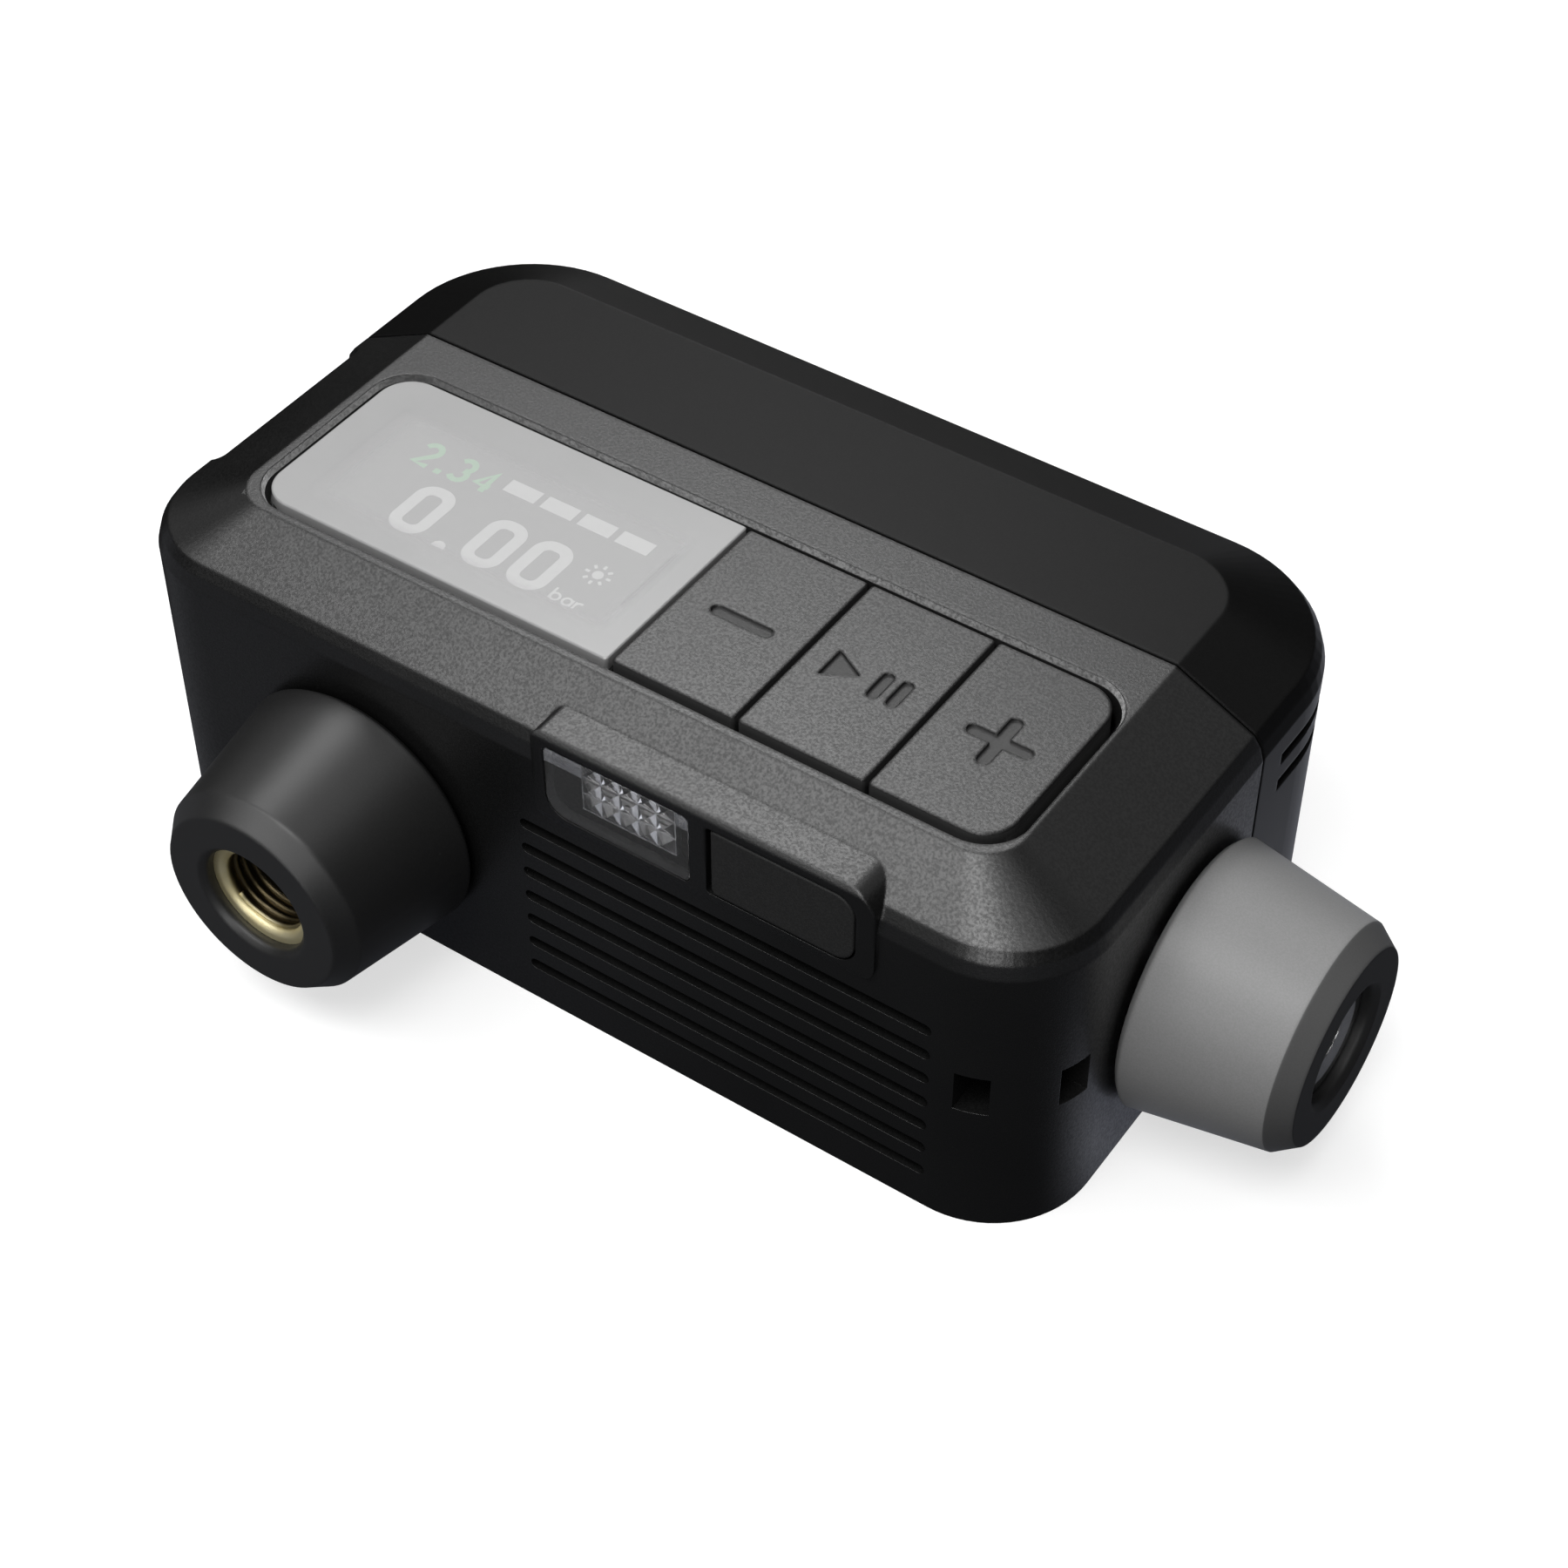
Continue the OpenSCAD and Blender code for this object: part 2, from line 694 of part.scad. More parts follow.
module shell_screws() {
    color([0.5, 0.5, 0.52])
    for (s = shell_screws)
        difference() {
            union() {
                rod_y(seam_y - boss_front_l + 1, half_d - screw_sink, s[0], s[1], screw_r - 0.12);
                rod_y(half_d - screw_sink, half_d - 0.2, s[0], s[1], screw_head_r);
            }
            rod_y(half_d - 1, half_d, s[0], s[1], 0.8, $fn = 6);
        }
}

// ---- display and buttons ----

module display_window() {
    x0 = panel_x0 + panel_gap / 2;
    x1 = split_x - panel_gap / 2;
    y0 = panel_y0 + panel_gap / 2;
    y1 = panel_y1 - panel_gap / 2;
    r = panel_r - panel_gap / 2;
    z0 = ledge_z + slip / 2;
    c = cap_chamfer;
    color([0.78, 0.79, 0.8, 0.6])
    hull() {
        translate([0, 0, z0]) linear_extrude(window_t - c)
            outline(x0, x1, y0, y1, [r, 0.3, 0.3, r]);
        translate([0, 0, z0]) linear_extrude(window_t)
            outline(x0 + c, x1 - c, y0 + c, y1 - c, [r - c, 0.3, 0.3, r - c]);
    }
}

module display_module() {
    m = ledge_w + 0.3;
    color([0.72, 0.73, 0.74])
    plate(panel_x0 + m, split_x - m, panel_y0 + m, panel_y1 - m, board_top, ledge_z - slip,
        panel_r - ledge_w);
}

module button_cap(i) {
    x0 = split_x + i * button_pitch + panel_gap / 2;
    x1 = split_x + (i + 1) * button_pitch - (i == button_n - 1 ? panel_gap : panel_gap / 2);
    r = i == button_n - 1 ? panel_r - panel_gap : 0.3;
    c = cap_chamfer;
    hull() {
        translate([0, 0, button_bottom]) linear_extrude(body_h - button_bottom - c)
            outline(x0, x1, button_y0, button_y1, [0.3, r, r, 0.3]);
        translate([0, 0, button_bottom]) linear_extrude(body_h - button_bottom)
            outline(x0 + c, x1 - c, button_y0 + c, button_y1 - c, [0.3, r, r, 0.3]);
    }
    f = panel_gap + button_flange;
    plate(x0 + 0.6, x1 - (i == button_n - 1 ? panel_r : 0.6), button_y0 - f, button_y1 + f,
        button_bottom, button_bottom + button_flange_t, 0.4);
    rod_z(button_bottom - plunger_h, button_bottom, button_x(i), button_mid_y, 1.4);
}

function button_x(i) = split_x + (i + 0.5) * button_pitch;

module sign_bar(l, w, turn) {
    rotate([0, 0, turn]) linear_extrude(1) {
        square([l - w, w], center = true);
        translate([(l - w) / 2, 0]) circle(w / 2);
        translate([(w - l) / 2, 0]) circle(w / 2);
    }
}

module at_sign(i) {
    translate([button_x(i), button_mid_y, body_h - sign_depth]) children();
}

module minus_button() {
    color([0.42, 0.43, 0.45])
    difference() {
        button_cap(0);
        at_sign(0) sign_bar(5.6, 1.1, 0);
    }
}

module play_button() {
    color([0.42, 0.43, 0.45])
    difference() {
        button_cap(1);
        at_sign(1) {
            translate([-2.1, 0, 0]) linear_extrude(1) polygon([[-1.4, -1.55], [1.4, 0], [-1.4, 1.55]]);
            translate([1.1, 0, 0]) sign_bar(3.1, 0.95, 90);
            translate([2.8, 0, 0]) sign_bar(3.1, 0.95, 90);
        }
    }
}

module plus_button() {
    color([0.42, 0.43, 0.45])
    difference() {
        button_cap(2);
        at_sign(2) {
            sign_bar(5.6, 1.1, 0);
            sign_bar(5.6, 1.1, 90);
        }
    }
}

module main_board() {
    color([0.05, 0.3, 0.16])
    difference() {
        union() {
            plate(board_x0, board_x1, board_y0, board_y1, board_z, board_top, 1);
            plate(port_x - 7, port_x + 7, board_front_y, board_y0 + 3, board_z, board_top, 0.6);
            plate(-board_screw_x - 3.4, board_screw_x + 3.4, board_y1 - 3, board_tab_y,
                board_z, board_top, 1);
        }
        for (side = [-1, 1]) rod_z(board_z - 1, board_top + 1, side * board_screw_x, board_screw_y, 0.9);
    }
}

module board_screws() {
    color([0.6, 0.6, 0.62])
    for (side = [-1, 1]) {
        rod_z(board_z - 0.8, board_z, side * board_screw_x, board_screw_y, 1.5);
        rod_z(board_z, board_top + 1.2, side * board_screw_x, board_screw_y, 0.55);
    }
}

module button_switches() {
    color([0.75, 0.75, 0.76])
    for (i = [0 : button_n - 1]) {
        x = button_x(i);
        box(x - 1.6, x + 1.6, button_mid_y - 1.6, button_mid_y + 1.6, board_top, board_top + 0.4);
        rod_z(board_top + 0.4, board_top + switch_h, x, button_mid_y, 1);
    }
}

module charging_port() {
    y1 = flap_floor;
    y0 = y1 + port_l;
    lip = port_lip;
    r = port_round;
    tongue_w = port_w - 2.34;
    tongue_t = 0.7;
    mid_z = port_z + port_h / 2;
    color([0.62, 0.63, 0.65]) {
        difference() {
            front_plate(port_x - port_w / 2, port_x + port_w / 2, port_z, port_z + port_h, y0, y1,
                [r, r, r, r]);
            front_plate(port_x - port_w / 2 + lip, port_x + port_w / 2 - lip, port_z + lip,
                port_z + port_h - lip, y0 - 1, y1 - 1, [1, 1, 1, 1] * (r - lip));
        }
        box(port_x - tongue_w / 2, port_x + tongue_w / 2, y1 + 1, y0,
            mid_z - tongue_t / 2, mid_z + tongue_t / 2);
    }
}

module pressure_sensor() {
    color([0.2, 0.2, 0.22])
    plate(train_x - 2.5, train_x + 2.5, tee_y - 5, tee_y - 1, manifold_z0 + manifold_h + slip, board_z, 0.3);
}

// ---- lamp and flap ----

// Pocket in the back of the lens, its floor cut into little pyramids
module lens_pocket() {
    front_plate(facet_x0 - 0.1, facet_x1 + 0.1, facet_z0 - 0.1, facet_z1 + 0.1, lamp_back + 1, facet_y,
        [0.1, 0.1, 0.1, 0.1]);
    for (i = [0 : facet_cols - 1])
        for (j = [0 : facet_rows - 1])
            translate([facet_x0 + (i + 0.5) * facet_pitch, facet_y + skin,
                facet_z0 + (j + 0.5) * facet_pitch])
                rotate([90, 45, 0]) cylinder(r1 = facet_pitch / sqrt(2), r2 = 0, h = 1, $fn = 4);
}

module lamp_lens() {
    g = slip;
    color([0.85, 0.87, 0.9, 0.5])
    difference() {
        union() {
            front_plate(lamp_x + g, lamp_x + lamp_l - g, window_z + g, window_top - g,
                -wall_in_y + slip / 2, frame_y + 0.05, [2 - g, 0.4, 0.5, 0.4]);
            lamp_plate(-wall_in_y + slip / 2, lamp_flange_t - slip / 2);
        }
        lens_pocket();
    }
}

// Plate behind the wall, a little larger than the lamp window
module lamp_plate(y, t) {
    front_plate(lamp_x - lamp_flange, lamp_x + lamp_l, window_z - lamp_flange, lamp_flange_top,
        y + t, y, [0.5, 0.5, 0.5, 0.5]);
}

module lamp_board() {
    chip = 2;
    chip_pitch = 3;
    color([0.9, 0.9, 0.86]) {
        lamp_plate(lamp_back, 0.8);
        for (i = [0 : 2])
            box(facet_x0 + 0.3 + i * chip_pitch, facet_x0 + 0.3 + i * chip_pitch + chip,
                lamp_back - 0.6, lamp_back, facet_z0 + 0.4, facet_z0 + 0.4 + chip);
    }
}

module port_flap() {
    g = flap_gap;
    plug_in = 0.8;
    color([0.12, 0.12, 0.13]) {
        rod_z(window_z + 2 * g, window_top - 2 * g, flap_hinge_x, flap_hinge_y, flap_hinge_r);
        intersection() {
            front_plate(flap_hinge_x - 2, flap_x + flap_l - g, window_z + g, window_top - g,
                frame_y + flap_web_t, frame_y, [0.3, 1.9 - g, 1.9 - g, 0.3]);
            box(flap_hinge_x, flap_x + flap_l, frame_y - 1, frame_y + 2, window_z, window_top);
        }
        front_plate(flap_hinge_x + 0.8, flap_x + flap_l - 1.4, window_z + 0.8, window_top - 0.8,
            frame_y + flap_t, frame_y + flap_web_t, [1, 1, 1, 1]);
        front_plate(port_x - 3.8, port_x + 3.2, port_z + 0.6, port_z + port_h - 0.6,
            flap_floor + plug_in, frame_y + flap_t, [0.8, 0.8, 0.8, 0.8]);
    }
}

// ---- battery ----

module cell(z) {
    plate(cell_x0, cell_x0 + cell_l, cell_y0, cell_y0 + cell_w, z, z + cell_t, 1.4);
}

module battery_cell_lower() {
    color([0.2, 0.35, 0.65]) cell(cell_z0 + slip);
}

module battery_cell_upper() {
    color([0.2, 0.35, 0.65]) cell(cell_z0 + cell_t + 2 * slip);
}

module battery_cradle() {
    x0 = cell_x0 - slip;
    x1 = cell_x0 + cell_l + slip;
    t = cradle_t;
    color([0.85, 0.85, 0.83]) {
        box(x0 - t, x1 + t, cell_y0, cell_y0 + cell_w - 1.6, cell_z0 - t, cell_z0);
        box(x0 - t, x0, cell_y0, cell_y0 + cell_w - 1.6, cell_z0, cell_z0 + 2 * cell_t);
        box(x1, x1 + t, cell_y0, cell_y0 + cell_w - 3, cell_z0, cell_z0 + 2 * cell_t);
    }
}

// ---- motor ----

module motor_can() {
    color([0.66, 0.67, 0.69])
    difference() {
        union() {
            rod_x(motor_x0 + motor_cap_t, motor_x1, motor_y, train_z, motor_r);
            rod_x(motor_x1, motor_x1 + motor_boss_t, motor_y, train_z, motor_boss_r);
        }
        rod_x(motor_x0, motor_x1 - motor_wall, motor_y, train_z, motor_r - motor_wall);
        rod_x(motor_x0, motor_x1 + 2, motor_y, train_z, shaft_r + run);
        at_motor_screws() rod_x(motor_x1 - 2, motor_x1 + 1, 0, 0, motor_screw_r + run);
    }
}

// Twice round the motor's axis, opposite each other
module at_motor_screws() {
    for (z = [-1, 1]) translate([0, motor_y, train_z + z * motor_screw_off]) children();
}

module motor_magnets() {
    r = motor_r - motor_wall - slip / 2;
    color([0.25, 0.25, 0.27])
    difference() {
        rod_x(magnet_x0, magnet_x1, motor_y, train_z, r);
        rod_x(motor_x0, motor_x1, motor_y, train_z, r - magnet_t);
        box(motor_x0, motor_x1, motor_y - magnet_split / 2, motor_y + magnet_split / 2,
            train_z - motor_r, train_z + motor_r);
    }
}

module motor_end_cap() {
    color([0.2, 0.2, 0.21])
    difference() {
        union() {
            rod_x(motor_x0, motor_x0 + motor_cap_t, motor_y, train_z, motor_r);
            rod_x(motor_x0, brush_x1, motor_y, train_z, motor_r - motor_wall - slip / 2);
            rod_x(motor_x0 - 1.2, motor_x0, motor_y, train_z, motor_boss_r);
            for (y = [motor_y - terminal_off, motor_y + terminal_off])
                box(motor_x0 - 1, motor_x0, y - terminal_w / 2, y + terminal_w / 2,
                    train_z - 1.4, train_z + 1.4);
        }
        rod_x(motor_x0 + motor_cap_t, brush_x1 + 1, motor_y, train_z, brush_top + side_gap);
        rod_x(motor_x0 - 2, brush_x1, motor_y, train_z, shaft_r + run);
    }
}

// Carbon blocks that press on the commutator from above and below
module motor_brushes() {
    color([0.15, 0.15, 0.15])
    for (side = [0, 1])
        translate([0, motor_y, train_z]) mirror([0, 0, side])
            difference() {
                box(brush_x0, brush_x1 - 0.4, -brush_w / 2, brush_w / 2, 1, brush_top);
                rod_x(motor_x0, motor_x1, 0, 0, commutator_r + run);
            }
}

module motor_screws() {
    color([0.6, 0.6, 0.62])
    at_motor_screws() {
        rod_x(motor_x1 - motor_wall, bracket_x1, 0, 0, motor_screw_r);
        rod_x(bracket_x1, bracket_x1 + 0.4, 0, 0, 2 * motor_screw_r);
    }
}

module motor_rotor() {
    color([0.6, 0.35, 0.2])
    difference() {
        rod_x(brush_x1 + 0.6, magnet_x1 + 0.5, motor_y, train_z, rotor_r);
        rod_x(motor_x0, motor_x1, motor_y, train_z, shaft_r + skin);
        for (i = [0 : rotor_slots - 1])
            translate([0, motor_y, train_z]) rotate([i * 360 / rotor_slots, 0, 0])
                box(motor_x0, motor_x1, -rotor_slot_w / 2, rotor_slot_w / 2,
                    rotor_r - rotor_slot_d, rotor_r + 1);
    }
}

module commutator() {
    color([0.72, 0.45, 0.2])
    difference() {
        rod_x(brush_x0 - 0.3, brush_x1 + 0.6, motor_y, train_z, commutator_r);
        rod_x(motor_x0, motor_x1, motor_y, train_z, shaft_r + skin);
    }
}

module motor_shaft() {
    color([0.75, 0.76, 0.78]) rod_x(motor_x0 - 1, gear_x1 - 0.4, motor_y, train_z, shaft_r);
}

// Lead that runs straight from point to point
module lead(points, r) {
    for (i = [0 : len(points) - 2]) {
        d = points[i + 1] - points[i];
        translate(points[i]) rotate([0, acos(d.z / norm(d)), atan2(d.y, d.x)]) cylinder(r = r, h = norm(d));
    }
    for (i = [1 : len(points) - 2]) translate(points[i]) sphere(r);
}

module motor_leads() {
    x = motor_x0 - 1.6;
    end_x = board_x0 + pad_in;
    color([0.6, 0.1, 0.1])
    for (i = [0, 1]) {
        y0 = motor_y + (2 * i - 1) * terminal_off;
        y1 = board_y1 - pad_in - (i + 0.5) * lead_pitch;
        z = board_z - lead_drop - (1 - i) * lead_pitch;
        lead([[x, y0, train_z], [x, y0, z], [x, y1, z], [end_x, y1, z], [end_x, y1, board_z]], lead_r);
    }
}

module battery_leads() {
    y = cell_y0 - 0.8;
    z = board_z - lead_drop;
    color([0.6, 0.1, 0.1])
    for (i = [0, 1]) {
        x = cell_x0 + 8 + i * lead_pitch;
        z0 = cell_z0 + 4 + i * (cell_t + slip);
        lead([[x, cell_y0, z0], [x, y, z0], [x, y, z], [x, board_y1 - pad_in, z],
            [x, board_y1 - pad_in, board_z]], lead_r);
    }
}

// ---- gears ----

function inv(a) = tan(a) * 180 / PI - a;

// Half of a tooth's angle at radius r
function tooth_half(n, r) =
    let(rp = n * tooth_m / 2, rb = rp * cos(pressure_angle))
    90 / n - backlash * 90 / (PI * rp) + inv(pressure_angle) - (r > rb ? inv(acos(rb / r)) : 0);

// The radii at which a flank is drawn, from root to tip
function flank(n) =
    let(rp = n * tooth_m / 2, r0 = rp - 1.2 * tooth_m, r1 = rp + tooth_m,
        rb = max(rp * cos(pressure_angle), r0))
    [r0, rb, rb + (r1 - rb) * 0.35, rb + (r1 - rb) * 0.7, r1];

function polar(r, a) = [r * cos(a), r * sin(a)];

module gear_shape(n) {
    f = flank(n);
    polygon([for (i = [0 : n - 1]) for (k = [0 : 9])
        let(up = k < 5, r = f[up ? k : 9 - k], half = tooth_half(n, r), a = i * 360 / n)
        polar(r, up ? a - half : a + half)]);
}

// A gear across the X axis, its first tooth pointing to +Y when turned by 0
module gear(n, x0, x1, y, turn) {
    translate([x0, y, train_z]) rotate([0, 90, 0]) rotate([0, 0, 90 + turn])
        linear_extrude(x1 - x0) gear_shape(n);
}

module pinion() {
    color([0.8, 0.68, 0.35])
    difference() {
        gear(pinion_teeth, gear_x0 - 0.2, gear_x1, motor_y, 180 / pinion_teeth);
        rod_x(gear_x0 - 1, gear_x1 + 1, motor_y, train_z, shaft_r + skin);
    }
}

module crank_gear() {
    lighten_r = gear_r * 0.2;
    color([0.85, 0.85, 0.82])
    difference() {
        gear(gear_teeth, gear_x0, gear_x1, crank_y, 0);
        rod_x(gear_x0 - 1, gear_x1 - axle_end + side_gap, crank_y, train_z, axle_r + run);
        for (a = [60, 120, 240, 300])
            translate([0, crank_y, train_z]) rotate([a, 0, 0])
                rod_x(gear_x0 - 1, gear_x1 - 1.5, gear_r * 0.61, 0, lighten_r);
    }
}

module gear_axle() {
    color([0.75, 0.76, 0.78]) rod_x(motor_x1 + 0.4, gear_x1 - axle_end, crank_y, train_z, axle_r);
}

module bolt_places() {
    for (sx = [-1, 1])
        for (sz = [-1, 1])
            translate([train_x + sx * bolt_off, 0, train_z + sz * bolt_off]) children();
}

module square_flange(y0, y1) {
    front_plate(train_x - flange_half, train_x + flange_half, train_z - flange_half,
        train_z + flange_half, y1, y0, [1, 1, 1, 1] * flange_round);
}

module gear_bracket() {
    color([0.7, 0.71, 0.73])
    difference() {
        union() {
            translate([motor_x1, 0, 0]) rotate([90, 0, 90]) linear_extrude(bracket_t)
                outline(lug_y, motor_y + bracket_end, train_z - flange_half, train_z + flange_half,
                    [0.4, 3, 3, 0.4]);
            square_flange(lug_y, lug_y + lug_t);
        }
        rod_x(motor_x1 - 1, bracket_x1 + 1, motor_y, train_z, motor_boss_r + slip);
        rod_x(motor_x1 - 1, bracket_x1 + 1, crank_y, train_z, axle_r + skin);
        at_motor_screws() rod_x(motor_x1 - 1, bracket_x1 + 1, 0, 0, motor_screw_r + slip);
        rod_y(lug_y - 1, lug_y + lug_t + 0.5, train_x, train_z, bore_r + 0.3);
        bolt_places() rotate([-90, 0, 0]) translate([0, 0, lug_y - 1])
            cylinder(r = bolt_r - 0.1, h = lug_t + 2);
    }
}

// ---- pump ----

module pump_cylinder() {
    fins = 2;
    color([0.7, 0.71, 0.73])
    difference() {
        union() {
            rod_y(cylinder_y, lug_y, train_x, train_z, bore_r + cylinder_wall);
            square_flange(cylinder_y, cylinder_y + flange_t);
            square_flange(lug_y - 1.2, lug_y);
            for (i = [1 : fins])
                rod_y(cylinder_y + flange_t + i * fin_pitch, cylinder_y + flange_t + i * fin_pitch + fin_t,
                    train_x, train_z, bore_r + cylinder_wall + 0.4);
        }
        rod_y(cylinder_y - 1, lug_y + 1, train_x, train_z, bore_r);
        bolt_places() rotate([-90, 0, 0]) translate([0, 0, cylinder_y - 1])
            cylinder(r = bolt_r + slip / 2, h = lug_y - cylinder_y + 2);
    }
}

module pierced_flange(y0, y1, hole) {
    difference() {
        square_flange(y0, y1);
        rod_y(y0 - 1, y1 + 1, train_x, train_z, hole);
        bolt_places() rotate([-90, 0, 0]) translate([0, 0, y0 - 1])
            cylinder(r = bolt_r + slip / 2, h = y1 - y0 + 2);
    }
}

module head_gasket() {
    color([0.1, 0.1, 0.1]) pierced_flange(gasket_y, cylinder_y, bore_r);
}

module valve_plate() {
    color([0.72, 0.73, 0.75])
    difference() {
        pierced_flange(plate_y, gasket_y, 1);
        for (a = [90, 210, 330])
            translate([train_x + bore_r * 0.57 * cos(a), 0, train_z + bore_r * 0.57 * sin(a)])
                rod_y(plate_y - 1, gasket_y + 1, 0, 0, air_hole_r);
    }
}

module cylinder_head() {
    color([0.66, 0.67, 0.69])
    difference() {
        square_flange(head_y, plate_y);
        rod_y(plate_y - head_pocket, plate_y + 1, train_x, train_z, bore_r * 0.8);
        rod_z(train_z, train_z + flange_half + 1, train_x, plate_y - 0.9, air_hole_r);
        bolt_places() rotate([-90, 0, 0]) translate([0, 0, head_y - 1])
            cylinder(r = bolt_r + slip / 2, h = head_t + 2);
        bolt_places() rotate([-90, 0, 0]) translate([0, 0, head_y - 1])
            cylinder(r = bolt_head_r + slip, h = bolt_head_t + 1);
    }
}

module head_screws() {
    color([0.5, 0.5, 0.52])
    bolt_places() {
        rod_y(head_y + bolt_head_t, lug_y + lug_t, 0, 0, bolt_r - 0.12);
        difference() {
            rod_y(head_y, head_y + bolt_head_t, 0, 0, bolt_head_r);
            rod_y(head_y - 1, head_y + 0.6, 0, 0, 0.7, $fn = 6);
        }
    }
}

// Skirt open at the back for the rod, with a groove for the sealing ring
module piston() {
    slot_half = rod_t / 2 + 0.2;
    slot_high = small_end_r + 0.9;
    groove_y = crown_y + ring_land;
    color([0.82, 0.82, 0.8])
    difference() {
        rod_y(crown_y, crown_y + piston_l, train_x, train_z, bore_r - run - 0.02);
        difference() {
            rod_y(groove_y, groove_y + ring_t, train_x, train_z, bore_r + 1);
            rod_y(groove_y - 1, groove_y + ring_t + 1, train_x, train_z, bore_r - ring_depth);
        }
        box(train_x - slot_half, train_x + slot_half, wrist_y - small_end_r - 0.3, crown_y + piston_l + 1,
            train_z - slot_high, train_z + slot_high);
        rod_x(train_x - bore_r, train_x + bore_r, wrist_y, train_z, wrist_r + skin);
    }
}

module piston_cup() {
    y = crown_y + ring_land + skin;
    color([0.08, 0.08, 0.08])
    difference() {
        rod_y(y, y + ring_t - 2 * skin, train_x, train_z, bore_r - run);
        rod_y(y - 1, y + ring_t + 1, train_x, train_z, bore_r - ring_depth + skin);
    }
}

module wrist_pin() {
    color([0.75, 0.76, 0.78])
    rod_x(train_x - bore_r + 1.2, train_x + bore_r - 1.2, wrist_y, train_z, wrist_r);
}

module con_rod() {
    color([0.8, 0.8, 0.8])
    difference() {
        union() {
            rod_x(rod_x0, rod_x0 + rod_t, pin_y, train_z, big_end_r);
            rod_x(rod_x0, rod_x0 + rod_t, wrist_y, train_z, small_end_r);
            box(rod_x0, rod_x0 + rod_t, wrist_y, pin_y, train_z - shank_w / 2, train_z + shank_w / 2);
        }
        box(rod_x0 + rod_t - 0.8, rod_x0 + rod_t + 1, wrist_y + small_end_r + 0.6, pin_y - big_end_r - 0.6,
            train_z - shank_w / 4, train_z + shank_w / 4);
        rod_x(rod_x0 - 1, rod_x0 + rod_t + 1, pin_y, train_z, pin_r + skin);
        rod_x(rod_x0 - 1, rod_x0 + rod_t + 1, wrist_y, train_z, wrist_r + run);
    }
}

module crank_pin() {
    color([0.75, 0.76, 0.78]) rod_x(gear_x1 + run, rod_x0 + rod_t + 0.2, pin_y, train_z, pin_r);
}

// ---- air path ----

module air_manifold() {
    x0 = train_x - manifold_w / 2;
    x1 = train_x + manifold_w / 2;
    color([0.3, 0.3, 0.32])
    difference() {
        union() {
            plate(x0, x1, head_y, tee_y + 2.4, manifold_z0, manifold_z0 + manifold_h, 0.8);
            rod_x(x0 - barb_l, x1 + barb_l, tee_y, manifold_z, barb_r);
        }
        rod_x(x0 - barb_l - 1, x1 + barb_l + 1, tee_y, manifold_z, air_hole_r);
        rod_y(plate_y - 0.9, tee_y, train_x, manifold_z, air_hole_r);
        rod_z(manifold_z0 - 1, manifold_z, train_x, plate_y - 0.9, air_hole_r);
    }
}

// A quarter bend in the XY plane: starts at the origin along +X and turns towards +Y
module bend(r) {
    translate([0, tube_bend, 0]) rotate([0, 0, -90]) rotate_extrude(angle = 90)
        translate([tube_bend, 0]) circle(r);
}

module front_route(r, over) {
    y0 = -half_d - stem_barb_z + 0.4;
    x1 = train_x - manifold_w / 2 - 0.3;
    rod_y(y0 - over, tee_y - tube_bend, front_nozzle_x, nozzle_z, r);
    translate([front_nozzle_x, tee_y - tube_bend, nozzle_z]) rotate([90, 0, 90]) bend(r);
    rod_z(nozzle_z + tube_bend, manifold_z - tube_bend, front_nozzle_x, tee_y, r);
    translate([front_nozzle_x, tee_y, manifold_z - tube_bend]) rotate([0, -90, -90]) bend(r);
    rod_x(front_nozzle_x + tube_bend, x1 + over, tee_y, manifold_z, r);
}

module side_route(r, over) {
    x0 = train_x + manifold_w / 2 + 0.3;
    x1 = half_l + stem_barb_z - 0.4;
    rod_x(x0 - over, drop_x - tube_bend, tee_y, manifold_z, r);
    translate([drop_x - tube_bend, tee_y, manifold_z]) rotate([-90, 0, 0]) bend(r);
    rod_z(nozzle_z + tube_bend, manifold_z - tube_bend, drop_x, tee_y, r);
    translate([drop_x, tee_y, nozzle_z + tube_bend]) rotate([0, 90, 0]) bend(r);
    translate([drop_x, tee_y + tube_bend, nozzle_z]) rotate([0, 0, 90]) rotate([180, 0, 0]) bend(r);
    rod_x(drop_x + tube_bend, x1 + over, side_nozzle_y, nozzle_z, r);
}

module front_air_tube() {
    color([0.15, 0.15, 0.16])
    difference() {
        front_route(tube_r, 0);
        front_route(tube_bore_r, 1);
    }
}

module side_air_tube() {
    color([0.15, 0.15, 0.16])
    difference() {
        side_route(tube_r, 0);
        side_route(tube_bore_r, 1);
    }
}

// ---- nozzles: drawn along +Z out of the wall, then set on the front or the side ----

module on_front() {
    translate([front_nozzle_x, -half_d, nozzle_z]) rotate([90, 0, 0]) children();
}

module on_side() {
    translate([half_l, side_nozzle_y, nozzle_z]) rotate([0, 90, 0]) children();
}

module stem() {
    difference() {
        union() {
            translate([0, 0, stem_barb_z - stem_barb_l]) cylinder(r = barb_r, h = stem_barb_l + 1);
            translate([0, 0, stem_barb_z]) cylinder(r = stem_flange_r, h = stem_flange_t);
            translate([0, 0, -wall]) cylinder(r = stem_r, h = wall + shoulder_z);
            translate([0, 0, shoulder_z]) cylinder(r = spigot_r, h = stem_top - shoulder_z);
        }
        translate([0, 0, stem_barb_z - stem_barb_l - 1]) cylinder(r = air_hole_r, h = 20);
        translate([0, 0, 2]) cylinder(r = stem_bore_r, h = 20);
        translate([0, 0, clip_z]) difference() {
            cylinder(r = spigot_r + 1, h = clip_t + slip / 2);
            cylinder(r = spigot_r - clip_groove, h = clip_t + slip / 2);
        }
    }
}

module front_stem() {
    color([0.75, 0.76, 0.78]) on_front() stem();
}

module side_stem() {
    color([0.75, 0.76, 0.78]) on_side() stem();
}

